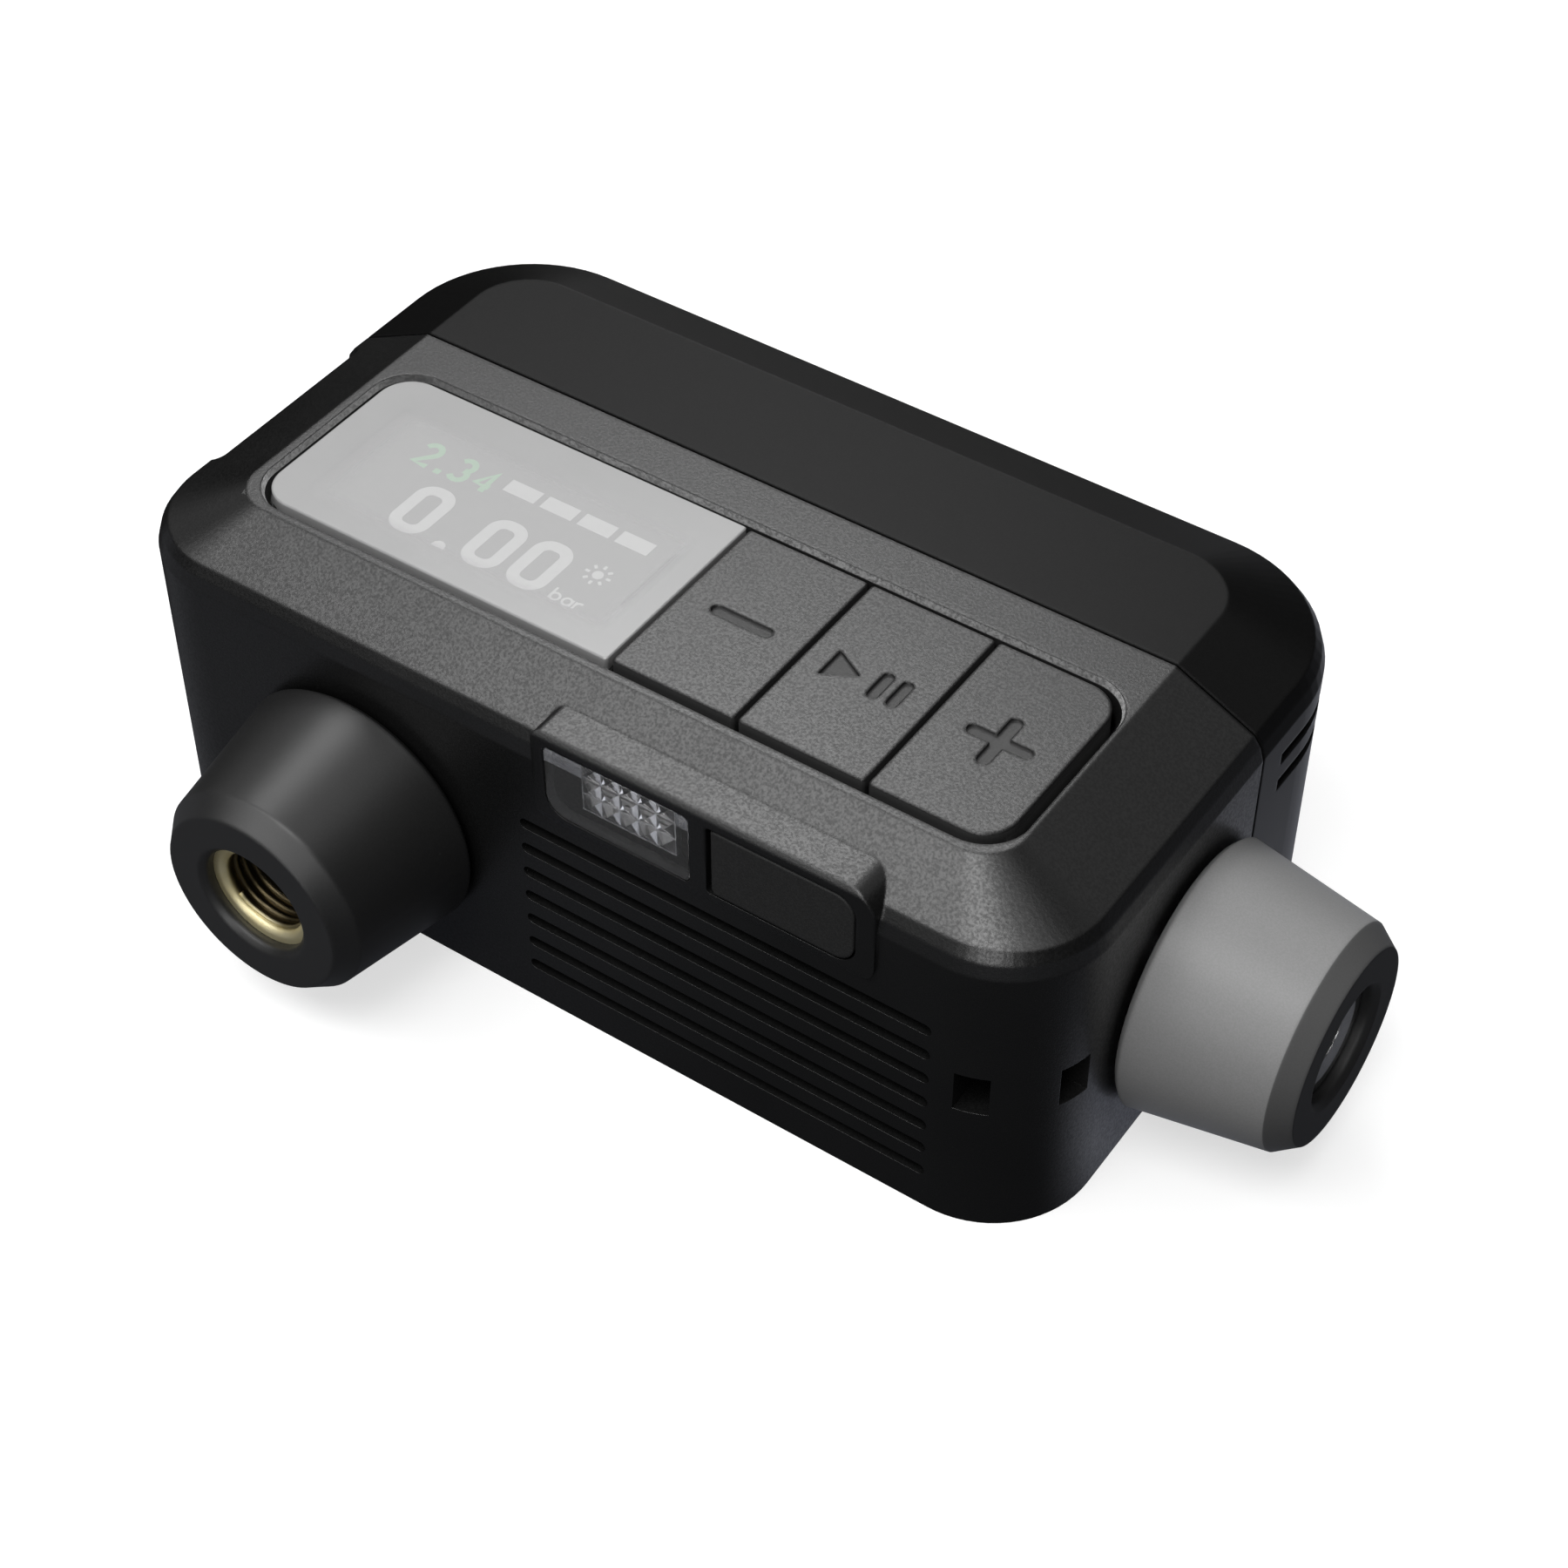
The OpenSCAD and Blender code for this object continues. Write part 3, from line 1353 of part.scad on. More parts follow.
module clip() {
    difference() {
        translate([0, 0, clip_z + slip / 4]) cylinder(r = spigot_r + 0.5, h = clip_t);
        cylinder(r = spigot_r - clip_groove + skin, h = 20);
        translate([-1.4, 0, 0]) cube([2.8, 20, 20]);
    }
}

module front_clip() {
    color([0.5, 0.5, 0.52]) on_front() clip();
}

module side_clip() {
    color([0.5, 0.5, 0.52]) on_side() clip();
}

// Rubber washer on the end of the stem, which the valve presses on
module seal() {
    difference() {
        translate([0, 0, stem_top]) cylinder(r = spigot_r - skin, h = seal_t);
        cylinder(r = stem_bore_r, h = 30);
    }
}

module front_seal() {
    color([0.05, 0.05, 0.05]) on_front() seal();
}

module side_seal() {
    color([0.05, 0.05, 0.05]) on_side() seal();
}

// Pin that opens the tyre's valve, on a blade held in the stem's bore
module depressor() {
    translate([0, 0, shoulder_z]) cylinder(r = 0.6, h = socket_z - slip - shoulder_z);
    intersection() {
        translate([-2, -0.4, 3]) cube([4, 0.8, 2]);
        cylinder(r = stem_bore_r - skin, h = 10);
    }
}

module front_depressor() {
    color([0.8, 0.68, 0.35]) on_front() depressor();
}

module side_depressor() {
    color([0.75, 0.76, 0.78]) on_side() depressor();
}

module collar() {
    lip = nozzle_l - insert_top - skin;
    in_r = stem_r + nozzle_gap;
    soft = 0.5;
    difference() {
        rotate_extrude() polygon([[in_r, nozzle_gap], [nozzle_base_r - soft, nozzle_gap],
            [nozzle_base_r, nozzle_gap + soft], [nozzle_tip_r, nozzle_l - nozzle_chamfer_l],
            [nozzle_face_r, nozzle_l], [mouth_r + soft, nozzle_l], [mouth_r, nozzle_l - soft],
            [mouth_r, nozzle_l - lip], [insert_r + skin, nozzle_l - lip],
            [insert_r + skin, insert_floor], [in_r, insert_floor]]);
        translate([0, 0, -1]) difference() {
            cylinder(r = nozzle_base_r - 1.6, h = insert_floor);
            cylinder(r = insert_r + 0.4, h = insert_floor + 1);
        }
    }
}

module front_collar() {
    color([0.14, 0.14, 0.15]) on_front() collar();
}

module side_collar() {
    color([0.5, 0.5, 0.52]) on_side() collar();
}

// Threaded socket that turns with the collar and runs on the stem
module insert(socket_r, lead_in) {
    chamber_r = spigot_r + 0.9;
    floor_z = insert_floor + skin;
    rotate_extrude() polygon([[spigot_r + run, floor_z], [insert_r, floor_z], [insert_r, insert_top],
        [socket_r + lead_in, insert_top], [socket_r, socket_z + socket_l], [socket_r, socket_z],
        [chamber_r, socket_z], [chamber_r, clip_z - side_gap], [spigot_r + run, clip_z - side_gap]]);
}

module front_insert() {
    color([0.85, 0.7, 0.35]) on_front() insert(front_valve_r, 0.4);
}

module side_insert() {
    color([0.72, 0.73, 0.75]) on_side() insert(side_valve_r, 1.2);
}

front_shell();
rear_shell();
shell_screws();
display_window();
display_module();
main_board();
board_screws();
button_switches();
charging_port();
pressure_sensor();
lamp_lens();
lamp_board();
battery_cradle();
battery_cell_lower();
battery_cell_upper();
motor_can();
motor_magnets();
motor_end_cap();
motor_brushes();
motor_leads();
battery_leads();
motor_screws();
gear_bracket();
gear_axle();
pump_cylinder();
head_gasket();
valve_plate();
cylinder_head();
head_screws();
air_manifold();
front_air_tube();
side_air_tube();
front_stem();
side_stem();
front_seal();
side_seal();
front_clip();
side_clip();
front_depressor();
side_depressor();
minus_button();
play_button();
plus_button();
front_collar();
front_insert();
side_collar();
side_insert();
port_flap();
motor_rotor();
commutator();
motor_shaft();
pinion();
crank_gear();
con_rod();
crank_pin();
piston();
piston_cup();
wrist_pin();
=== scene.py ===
import json
import math

import bmesh
import bpy
from mathutils import Euler, Matrix, Vector


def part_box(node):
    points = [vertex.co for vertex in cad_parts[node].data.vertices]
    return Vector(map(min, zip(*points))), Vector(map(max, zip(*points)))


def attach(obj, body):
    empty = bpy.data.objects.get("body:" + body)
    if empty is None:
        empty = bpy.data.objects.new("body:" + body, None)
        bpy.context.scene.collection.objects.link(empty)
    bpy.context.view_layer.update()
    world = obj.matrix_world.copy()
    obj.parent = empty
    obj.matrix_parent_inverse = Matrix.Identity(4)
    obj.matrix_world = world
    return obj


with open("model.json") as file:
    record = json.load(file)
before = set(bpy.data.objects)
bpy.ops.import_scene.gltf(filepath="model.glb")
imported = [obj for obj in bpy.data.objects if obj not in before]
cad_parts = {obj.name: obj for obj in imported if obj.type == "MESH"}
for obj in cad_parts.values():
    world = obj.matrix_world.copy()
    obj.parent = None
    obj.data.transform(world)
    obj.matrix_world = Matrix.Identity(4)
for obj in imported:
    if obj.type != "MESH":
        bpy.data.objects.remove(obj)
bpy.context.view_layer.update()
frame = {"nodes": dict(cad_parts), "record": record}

MM = 0.001
mounts = {mount["name"]: mount for mount in frame["record"]["mounts"]}


# ---- shader values ----

class Value:
    """A socket of a material. Arithmetic on it adds Math nodes, and node() adds any other node."""

    def __init__(self, tree, socket=None):
        self.tree = tree
        self.socket = socket

    def node(self, kind, settings=None, inputs=None, out=0):
        made = self.tree.nodes.new(kind)
        for name, setting in (settings or {}).items():
            setattr(made, name, setting)
        for name, value in (inputs or {}).items():
            if isinstance(value, Value):
                self.tree.links.new(value.socket, made.inputs[name])
            else:
                made.inputs[name].default_value = value
        return Value(self.tree, made.outputs[out] if made.outputs else None)

    def maths(self, operation, first, second=0.0):
        return self.node("ShaderNodeMath", {"operation": operation}, {0: first, 1: second})

    def __add__(self, other):
        return self.maths("ADD", self, other)

    def __radd__(self, other):
        return self.maths("ADD", other, self)

    def __sub__(self, other):
        return self.maths("SUBTRACT", self, other)

    def __rsub__(self, other):
        return self.maths("SUBTRACT", other, self)

    def __mul__(self, other):
        return self.maths("MULTIPLY", self, other)

    def __rmul__(self, other):
        return self.maths("MULTIPLY", other, self)

    def __truediv__(self, other):
        return self.maths("DIVIDE", self, other)

    def between(self, low, high):
        """0 up to low, 1 from high, smooth in between."""
        return self.node("ShaderNodeMapRange", {"interpolation_type": "SMOOTHSTEP"},
                         {"Value": self, "From Min": low, "From Max": high})

    def band(self, low, full, fade, high):
        """1 from full to fade, 0 outside low and high, smooth in between."""
        return self.between(low, full) * (1 - self.between(fade, high))

    def blend(self, dark, light):
        """A colour between two, this value telling how much of the second."""
        return self.node("ShaderNodeMix", {"data_type": "RGBA"}, {0: self, 6: dark, 7: light}, out=2)


def rgb(red, green, blue):
    return (red, green, blue, 1.0)


def grey(level, warm=0.0):
    return rgb(level * (1 + warm), level, level * (1 - warm))


def new_material(name):
    material = bpy.data.materials.new(name)
    material.use_nodes = True
    material.node_tree.nodes.clear()
    return material, Value(material.node_tree)


def close(start, surface):
    start.node("ShaderNodeOutputMaterial", None, {"Surface": surface})


def principled(start, inputs):
    return start.node("ShaderNodeBsdfPrincipled", None, inputs)


def places(start):
    """Object coordinates, and their three parts in millimetres."""
    here = start.node("ShaderNodeTexCoord", out="Object")
    parts = [start.node("ShaderNodeSeparateXYZ", None, {"Vector": here}, out=i) for i in range(3)]
    return here, [part / MM for part in parts]


def grain(start, here, size, detail=2.0, rough=0.55):
    """Noise whose spots are about size millimetres across."""
    return start.node("ShaderNodeTexNoise", None, {
        "Vector": here, "Scale": 1 / (size * MM), "Detail": detail, "Roughness": rough})


def soft_edges(start, radius, samples):
    """The surface's normal, turned smoothly over edges within radius millimetres."""
    return start.node("ShaderNodeBevel", {"samples": samples}, {"Radius": radius * MM})


def worn_normal(start, radius, height, strength, distance):
    """The surface's normal with soft edges and a bumpy grain up to distance millimetres high."""
    return start.node("ShaderNodeBump", None, {
        "Strength": strength, "Distance": distance * MM, "Height": height,
        "Normal": soft_edges(start, radius, 6)})


def plastic(name, dark, light, spot, rough, bump, edge, specular=0.5, coat=0.0):
    """Moulded plastic: two colours mixed by a grain of spot millimetres, edges soft by edge millimetres."""
    material, start = new_material(name)
    here, _ = places(start)
    fine = grain(start, here, spot)
    broad = grain(start, here, spot * 30)
    close(start, principled(start, {
        "Base Color": fine.between(0.35, 0.7).blend(dark, light),
        "Roughness": rough[0] + (rough[1] - rough[0]) * (fine * 0.7 + broad * 0.3),
        "Specular IOR Level": specular,
        "Coat Weight": coat,
        "Coat Roughness": 0.3,
        "Normal": worn_normal(start, edge, fine, bump, spot * 0.35)}))
    return material


# ---- finishes of the housing ----

SAND_SPOT = 0.24  # mm across one grain of the sand finish
SHARP_EDGE, SOFT_EDGE = 0.06, 0.40  # mm of edge rounding, at the vents and at the top
VENTS_TO_TOP = (25.5, 27.5)  # mm, heights between which the edges go from sharp to soft
FLAT_TOP = (0, -0.15, 0.99)  # the normal that a smoothed place takes

# Where a finish starts, is full, fades and ends, in millimetres.
SLOPE_X = (-35.3, -35.2, 35.6, 35.7)
SLOPE_Y = (-18.8, -18.7, 1.4, 1.5)
SLOPE_Z = (32.8, 32.9, 33.35, 33.37)
FIELD_X = (-31.6, -28.6, -3.0, -1.4)
FIELD_Y = (-16.6, -14.2, -4.2, -2.6)

# Where a finish goes over into another, in millimetres.
CORNER_X = (32.5, 33.0)
CORNER_Y = (-16.5, -16.0)
SKIRT_FRONT_Y = (-18.0, -17.8)
SKIRT_FRONT_Z = (33.10, 33.14)
SKIRT_RIGHT_X = (34.4, 34.5)
SKIRT_RIGHT_Z = (32.50, 32.60)
WINDOW_BACK_Z = (32.10, 32.20)
SIGN_FLOOR_Z = (33.14, 33.30)


def opening_slope(x, y, z):
    """Where the front shell slopes down into the panel's opening, save for the front right corner."""
    corner = x.between(*CORNER_X) * (1 - y.between(*CORNER_Y))
    return x.band(*SLOPE_X) * y.band(*SLOPE_Y) * z.band(*SLOPE_Z) * (1 - corner)


def button_skirt(x, y, z):
    """The lower part of the buttons' front and right sides."""
    front = (1 - y.between(*SKIRT_FRONT_Y)) * (1 - z.between(*SKIRT_FRONT_Z))
    right = x.between(*SKIRT_RIGHT_X) * (1 - z.between(*SKIRT_RIGHT_Z))
    return 1 - (1 - front) * (1 - right)


def sanded(name, dark, light, dull_gloss, fine_gloss, bump, smoothed):
    """Sand finish: dull and fine grains side by side, which catch the light one by one.

    Where the smoothed function says so, the surface shines like the flat top beside it."""
    material, start = new_material(name)
    here, (x, y, z) = places(start)
    sand = grain(start, here, SAND_SPOT, 3.0, 0.6)
    cloudy = grain(start, here, 11.0, 2.0, 0.5)
    edge = SHARP_EDGE + (SOFT_EDGE - SHARP_EDGE) * z.between(*VENTS_TO_TOP)
    face = start.node("ShaderNodeMix", {"data_type": "VECTOR"}, {
        0: 0.9 * smoothed(x, y, z),
        4: worn_normal(start, edge, sand, bump, SAND_SPOT * 0.2),
        5: FLAT_TOP}, out=1)
    dull, fine = [principled(start, {
        "Base Color": cloudy.blend(dark, light),
        "Roughness": rough + 0.08 * cloudy,
        "Specular IOR Level": gloss,
        "Normal": face}) for rough, gloss in [(0.36, dull_gloss), (0.26, fine_gloss)]]
    surface = start.node("ShaderNodeMixShader", None, {0: sand.between(0.36, 0.64), 1: dull, 2: fine})
    return material, start, z, surface


def textured_shell():
    material, start, _, surface = sanded(
        "textured_shell", grey(0.003), grey(0.006), 0.54, 0.68, 0.32, opening_slope)
    close(start, surface)
    return material


def smooth_shell():
    return plastic("smooth_shell", grey(0.003), grey(0.005), 0.12, (0.32, 0.38), 0.10, 0.4, 0.12)


def button_grey():
    """The buttons' finish: the shell's sand, a little paler, and dull where the signs are sunk."""
    material, start, z, surface = sanded(
        "button_grey", grey(0.007), grey(0.012), 0.50, 0.67, 0.25, button_skirt)
    sunk = 1 - z.between(*SIGN_FLOOR_Z)
    floor = principled(start, {"Base Color": grey(0.045), "Roughness": 0.6, "Specular IOR Level": 0.3})
    close(start, start.node("ShaderNodeMixShader", None, {0: 0.75 * sunk, 1: surface, 2: floor}))
    return material


def display_glass():
    """Milky window: clear enough over the lit field to read it, solid at its border, clear at its back."""
    material, start = new_material("display_glass")
    here, (x, y, z) = places(start)
    field = x.band(*FIELD_X) * y.band(*FIELD_Y)
    back = 1 - z.between(*WINDOW_BACK_Z)
    haze = grain(start, here, 6.0, 2.0, 0.5)
    close(start, principled(start, {
        "Base Color": haze.blend(grey(0.285), grey(0.300)),
        "Roughness": 0.22 + 0.06 * haze,
        "Alpha": (1 - 0.70 * field) * (1 - 0.98 * back),
        "Coat Weight": 0.3,
        "Coat Roughness": 0.08,
        "Normal": soft_edges(start, 0.2, 4)}))
    return material


def lit(name, colour):
    """A field or a mark of the lit display: it glows, and hardly reflects."""
    material, start = new_material(name)
    here, _ = places(start)
    weave = grain(start, here, 0.6, 1.0, 0.5)
    dim = tuple(0.94 * part for part in colour[:3]) + (1.0,)
    close(start, principled(start, {
        "Base Color": grey(0.005),
        "Roughness": 0.4,
        "Specular IOR Level": 0.0,
        "Emission Color": weave.blend(dim, colour),
        "Emission Strength": 1.0}))
    return material


def display_white():
    return lit("display_white", grey(0.52))


def clear_lens():
    """Clear moulded plastic, seen mostly by its glints."""
    material, start = new_material("clear_lens")
    here, _ = places(start)
    flow = grain(start, here, 4.0, 2.0, 0.5)
    close(start, principled(start, {
        "Base Color": flow.blend(grey(0.80), grey(0.90)),
        "Roughness": 0.03 + 0.03 * flow,
        "Transmission Weight": 0.96,
        "IOR": 1.49,
        "Normal": soft_edges(start, 0.1, 4)}))
    return material


def lamp_white():
    return plastic("lamp_white", grey(0.20), grey(0.30, 0.03), 0.5, (0.4, 0.5), 0.1, 0.1)


# ---- finishes of the nozzles ----

FACE_R = 8.32  # mm, where the grey nozzle's flat end starts
MOUTH_R = 5.65  # mm, inside which its mouth is black
CHAMFER = 1.8  # mm along the axis
SOCKET_SHADE_Y = (-37.9, -37.2, -30.0, -29.0)  # mm in y, where painted shade darkens the brass deep in the socket


def black_collar():
    return plastic("black_collar", grey(0.010), grey(0.014), 0.10, (0.39, 0.45), 0.08, 0.5, 0.62)


def grey_collar():
    """Grey satin grip with shade painted dark on its chamfer, its flat end and its mouth black."""
    material, start = new_material("grey_collar")
    here, (x, y, z) = places(start)
    _, axis_y, axis_z = [place / MM for place in mounts["side_valve_socket"]["pos_m"]]
    end_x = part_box("side_collar")[1].x / MM
    dy = y - axis_y
    dz = z - axis_z
    off_axis = start.maths("SQRT", dy * dy + dz * dz)
    end = x.between(end_x - 0.15, end_x - 0.07) * (1 - off_axis.between(FACE_R - 0.04, FACE_R + 0.04))
    mouth = 1 - off_axis.between(MOUTH_R - 0.05, MOUTH_R + 0.05)
    black = start.maths("MAXIMUM", end, mouth)
    chamfer = x.between(end_x - CHAMFER - 0.05, end_x - CHAMFER + 0.05) * (1 - black)
    fine = grain(start, here, 0.14)
    satin = fine.between(0.3, 0.7).blend(grey(0.200), grey(0.225))
    # painted shade: the chamfer, which turns away from the light, is darkened towards near black
    satin = (0.72 * chamfer).blend(satin, grey(0.03))
    close(start, principled(start, {
        "Base Color": black.blend(satin, grey(0.012)),
        "Roughness": 0.46 + 0.06 * fine,
        "Normal": worn_normal(start, 0.5, fine, 0.08, 0.05)}))
    return material


def metal_grain(start, here, turned=0.1):
    """Broad stains, and turning marks of about turned millimetres."""
    return grain(start, here, 2.5, 3.0, 0.6), grain(start, here, turned, 2.0, 0.6)


def metal(name, dark, light, rough, turned=0.1, edge=0.15):
    """Bare or plated metal with fine turning marks."""
    material, start = new_material(name)
    here, _ = places(start)
    stain, fine = metal_grain(start, here, turned)
    close(start, principled(start, {
        "Base Color": stain.between(0.3, 0.75).blend(dark, light),
        "Metallic": 1.0,
        "Roughness": rough[0] + (rough[1] - rough[0]) * (fine * 0.5 + stain * 0.5),
        "Normal": worn_normal(start, edge, fine, 0.15, 0.02)}))
    return material


def valve_brass():
    """Turned brass, bright on the front nozzle's ring, with shade painted near black deep in its socket."""
    material, start = new_material("valve_brass")
    here, (_, y, _) = places(start)
    stain, fine = metal_grain(start, here)
    socket_shade = y.band(*SOCKET_SHADE_Y)
    bright = stain.between(0.3, 0.75).blend(rgb(0.90, 0.80, 0.48), rgb(0.98, 0.91, 0.62))
    close(start, principled(start, {
        # painted shade: deep in the socket the brass goes near black, as if little light reached it
        "Base Color": (0.90 * socket_shade).blend(bright, rgb(0.05, 0.03, 0.012)),
        "Metallic": 1.0,
        "Roughness": 0.48 - 0.22 * socket_shade + 0.06 * fine,
        "Normal": worn_normal(start, 0.5, fine, 0.15, 0.02)}))
    return material


def bright_steel():
    return metal("bright_steel", grey(0.55), grey(0.72), (0.16, 0.28))


# ---- finishes of what is inside ----

WIRE = 0.15  # mm, half the pitch of the winding's ribs


def zinc_steel():
    return metal("zinc_steel", grey(0.40, 0.02), grey(0.60, 0.03), (0.28, 0.42))


def cast_aluminium():
    return metal("cast_aluminium", grey(0.42), grey(0.58), (0.42, 0.58), 0.3, 0.3)


def winding_copper():
    """Enamelled wire laid turn by turn: fine ribs along the motor's axis."""
    material, start = new_material("winding_copper")
    here, (_, y, z) = places(start)
    ribs = start.maths("PINGPONG", z + y, WIRE) / WIRE
    stain = grain(start, here, 1.5, 2.0, 0.6)
    close(start, principled(start, {
        "Base Color": stain.blend(rgb(0.34, 0.12, 0.04), rgb(0.62, 0.27, 0.10)),
        "Metallic": 0.8,
        "Roughness": 0.25 + 0.15 * stain,
        "Normal": worn_normal(start, 0.1, ribs, 0.4, 0.1)}))
    return material


def black_rubber():
    return plastic("black_rubber", grey(0.014), grey(0.020), 0.16, (0.58, 0.70), 0.2, 0.3, 0.35)


def black_plastic():
    return plastic("black_plastic", grey(0.014), grey(0.024), 0.20, (0.40, 0.52), 0.15, 0.2)


def white_plastic():
    return plastic("white_plastic", grey(0.62, 0.02), grey(0.70, 0.02), 0.4, (0.40, 0.50), 0.1, 0.2)


def magnet_grey():
    return plastic("magnet_grey", grey(0.035), grey(0.060), 0.25, (0.50, 0.65), 0.3, 0.2)


def lead_red():
    dark, light = rgb(0.36, 0.02, 0.02), rgb(0.46, 0.03, 0.03)
    return plastic("lead_red", dark, light, 0.3, (0.35, 0.45), 0.1, 0.1)


def cell_wrap():
    dark, light = rgb(0.03, 0.10, 0.30), rgb(0.04, 0.13, 0.36)
    return plastic("cell_wrap", dark, light, 2.0, (0.22, 0.34), 0.15, 0.5, coat=0.4)


def circuit_board():
    """Green solder mask over copper runs that show as raised lines."""
    material, start = new_material("circuit_board")
    here, _ = places(start)
    cells = start.node("ShaderNodeTexVoronoi", {"distance": "MANHATTAN", "feature": "F1"},
                       {"Vector": here, "Scale": 420.0, "Randomness": 0.7})
    runs = cells.band(0.34, 0.40, 0.46, 0.52)
    fine = grain(start, here, 0.4)
    close(start, principled(start, {
        "Base Color": runs.blend(rgb(0.008, 0.075, 0.030), rgb(0.020, 0.150, 0.060)),
        "Roughness": 0.30 + 0.10 * fine,
        "Coat Weight": 0.4,
        "Coat Roughness": 0.2,
        "Normal": worn_normal(start, 0.15, runs, 0.4, 0.05)}))
    return material


FINISHES = [
    textured_shell, smooth_shell, button_grey, display_glass, display_white, clear_lens, lamp_white,
    black_collar, grey_collar, valve_brass, bright_steel, zinc_steel, black_rubber, black_plastic,
    white_plastic, circuit_board, cell_wrap, magnet_grey, winding_copper, lead_red, cast_aluminium]
materials = {make.__name__: make() for make in FINISHES}


def dress_nodes():
    """Each CAD node takes the finish of its material slot."""
    slot_of = {row["node"]: row["material_slot"] for row in frame["record"]["subparts"]}
    for name, node in frame["nodes"].items():
        node.data.materials.clear()
        node.data.materials.append(materials[slot_of[name]])


# ---- outlines, in millimetres ----

def rectangle(x0, x1, y0, y1):
    return [(x0, y0), (x1, y0), (x1, y1), (x0, y1)]


def arc(x, y, radius, start, end, steps=8):
    angles = [math.radians(start + (end - start) * i / steps) for i in range(steps + 1)]
    return [(x + radius * math.cos(a), y + radius * math.sin(a)) for a in angles]


def ribbon(points, width, closed=False):
    """Outlines of a band that follows the points, one four-sided piece for each stretch."""
    count = len(points)
    rights, lefts = [], []
    for i, (x, y) in enumerate(points):
        before = points[i - 1] if closed or i else points[i]
        after = points[(i + 1) % count] if closed or i < count - 1 else points[i]
        dx, dy = after[0] - before[0], after[1] - before[1]
        half = width / 2 / math.hypot(dx, dy)
        rights.append((x + dy * half, y - dx * half))
        lefts.append((x - dy * half, y + dx * half))
    stretches = [(i, (i + 1) % count) for i in range(count if closed else count - 1)]
    return [[rights[i], rights[j], lefts[j], lefts[i]] for i, j in stretches]


def nought(x0, x1, y0, y1, stroke):
    """A tall nought: a rounded ring."""
    a, b = x0 + stroke / 2, x1 - stroke / 2
    c, d = y0 + stroke / 2, y1 - stroke / 2
    r = (b - a) * 0.42
    ring = arc(b - r, d - r, r, 0, 90) + arc(a + r, d - r, r, 90, 180)
    ring += arc(a + r, c + r, r, 180, 270) + arc(b - r, c + r, r, 270, 360)
    return ribbon(ring, stroke, closed=True)


def small_digit(character, x, y, high, stroke):
    """One small digit whose lower left corner is at x, y."""
    wide = high * 0.55
    r = wide / 2
    upper = r * 0.95
    bar = y + high * 0.28
    stem = x + wide * 0.72
    paths = {
        "2": arc(x + r, y + high - r, r, 165, -35) + [(x, y), (x + wide, y)],
        "3": arc(x + r, y + high - upper, upper, 150, -80) + arc(x + r, y + r, r, 80, -150),
        "4": [(x + wide, bar), (x, bar), (stem, y + high), (stem, y)]}
    return ribbon(paths[character], stroke)


def unit_letters(x, y, high, stroke):
    """The pressure unit's three small letters: two bowls, each with a stem, and a hooked stem."""
    r = high * 0.3
    second, third = x + high * 0.85, x + high * 1.7
    bands = ribbon([(x, y + high), (x, y)], stroke)
    bands += ribbon(arc(x + r, y + r, r, 180, 540, 12), stroke, closed=True)
    bands += ribbon(arc(second + r, y + r, r, 180, 540, 12), stroke, closed=True)
    bands += ribbon([(second + 2 * r, y + 2 * r), (second + 2 * r, y)], stroke)
    bands += ribbon([(third, y), (third, y + 2 * r)], stroke)
    bands += ribbon(arc(third + r, y + r, r, 170, 70, 4), stroke)
    return bands


def sun(x, y, rays):
    """A disc with short rays round it."""
    disc_r = 0.48
    ray_from, ray_to, ray_w = 0.80, 1.20, 0.26
    bands = ribbon(arc(x, y, disc_r / 2, 0, 360, 12)[:-1], disc_r, closed=True)
    for i in range(rays):
        across, up = math.cos(2 * math.pi * i / rays), math.sin(2 * math.pi * i / rays)
        bands += ribbon([(x + reach * across, y + reach * up) for reach in (ray_from, ray_to)], ray_w)
    return bands


# ---- marks of the lit display ----

MARK_RISE = 0.03  # mm from the display module up to the marks' top
MARK_T = 0.02  # mm, how thick a mark is
NOUGHT_SPANS = [(-25.0, -21.35), (-17.7, -14.05), (-13.2, -9.55)]  # mm in x
NOUGHT_Y = (-14.0, -8.0)
NOUGHT_STROKE = 1.05
TARGET_Y = -6.6  # mm, foot of the small reading
TARGET_H = 2.6
TARGET_STROKE = 0.55
LEVELS = 4
LEVEL_STEP = 3.72  # mm from one level segment to the next
LEVEL_SIZE = (3.1, 1.5)


def keep(obj, body):
    """The piece moves with its body."""
    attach(obj, body)


def flat_mesh(name, outlines, z, material):
    """Thin closed plates on outlines in millimetres, their top at height z."""
    shape = bmesh.new()
    for outline in outlines:
        low = [shape.verts.new((x * MM, y * MM, (z - MARK_T) * MM)) for x, y in outline]
        high = [shape.verts.new((x * MM, y * MM, z * MM)) for x, y in outline]
        count = len(outline)
        shape.faces.new(high)
        shape.faces.new(list(reversed(low)))
        for i in range(count):
            j = (i + 1) % count
            shape.faces.new((low[i], low[j], high[j], high[i]))
    mesh = bpy.data.meshes.new(name)
    shape.to_mesh(mesh)
    shape.free()
    mesh.materials.append(material)
    made = bpy.data.objects.new(name, mesh)
    bpy.context.scene.collection.objects.link(made)
    return made


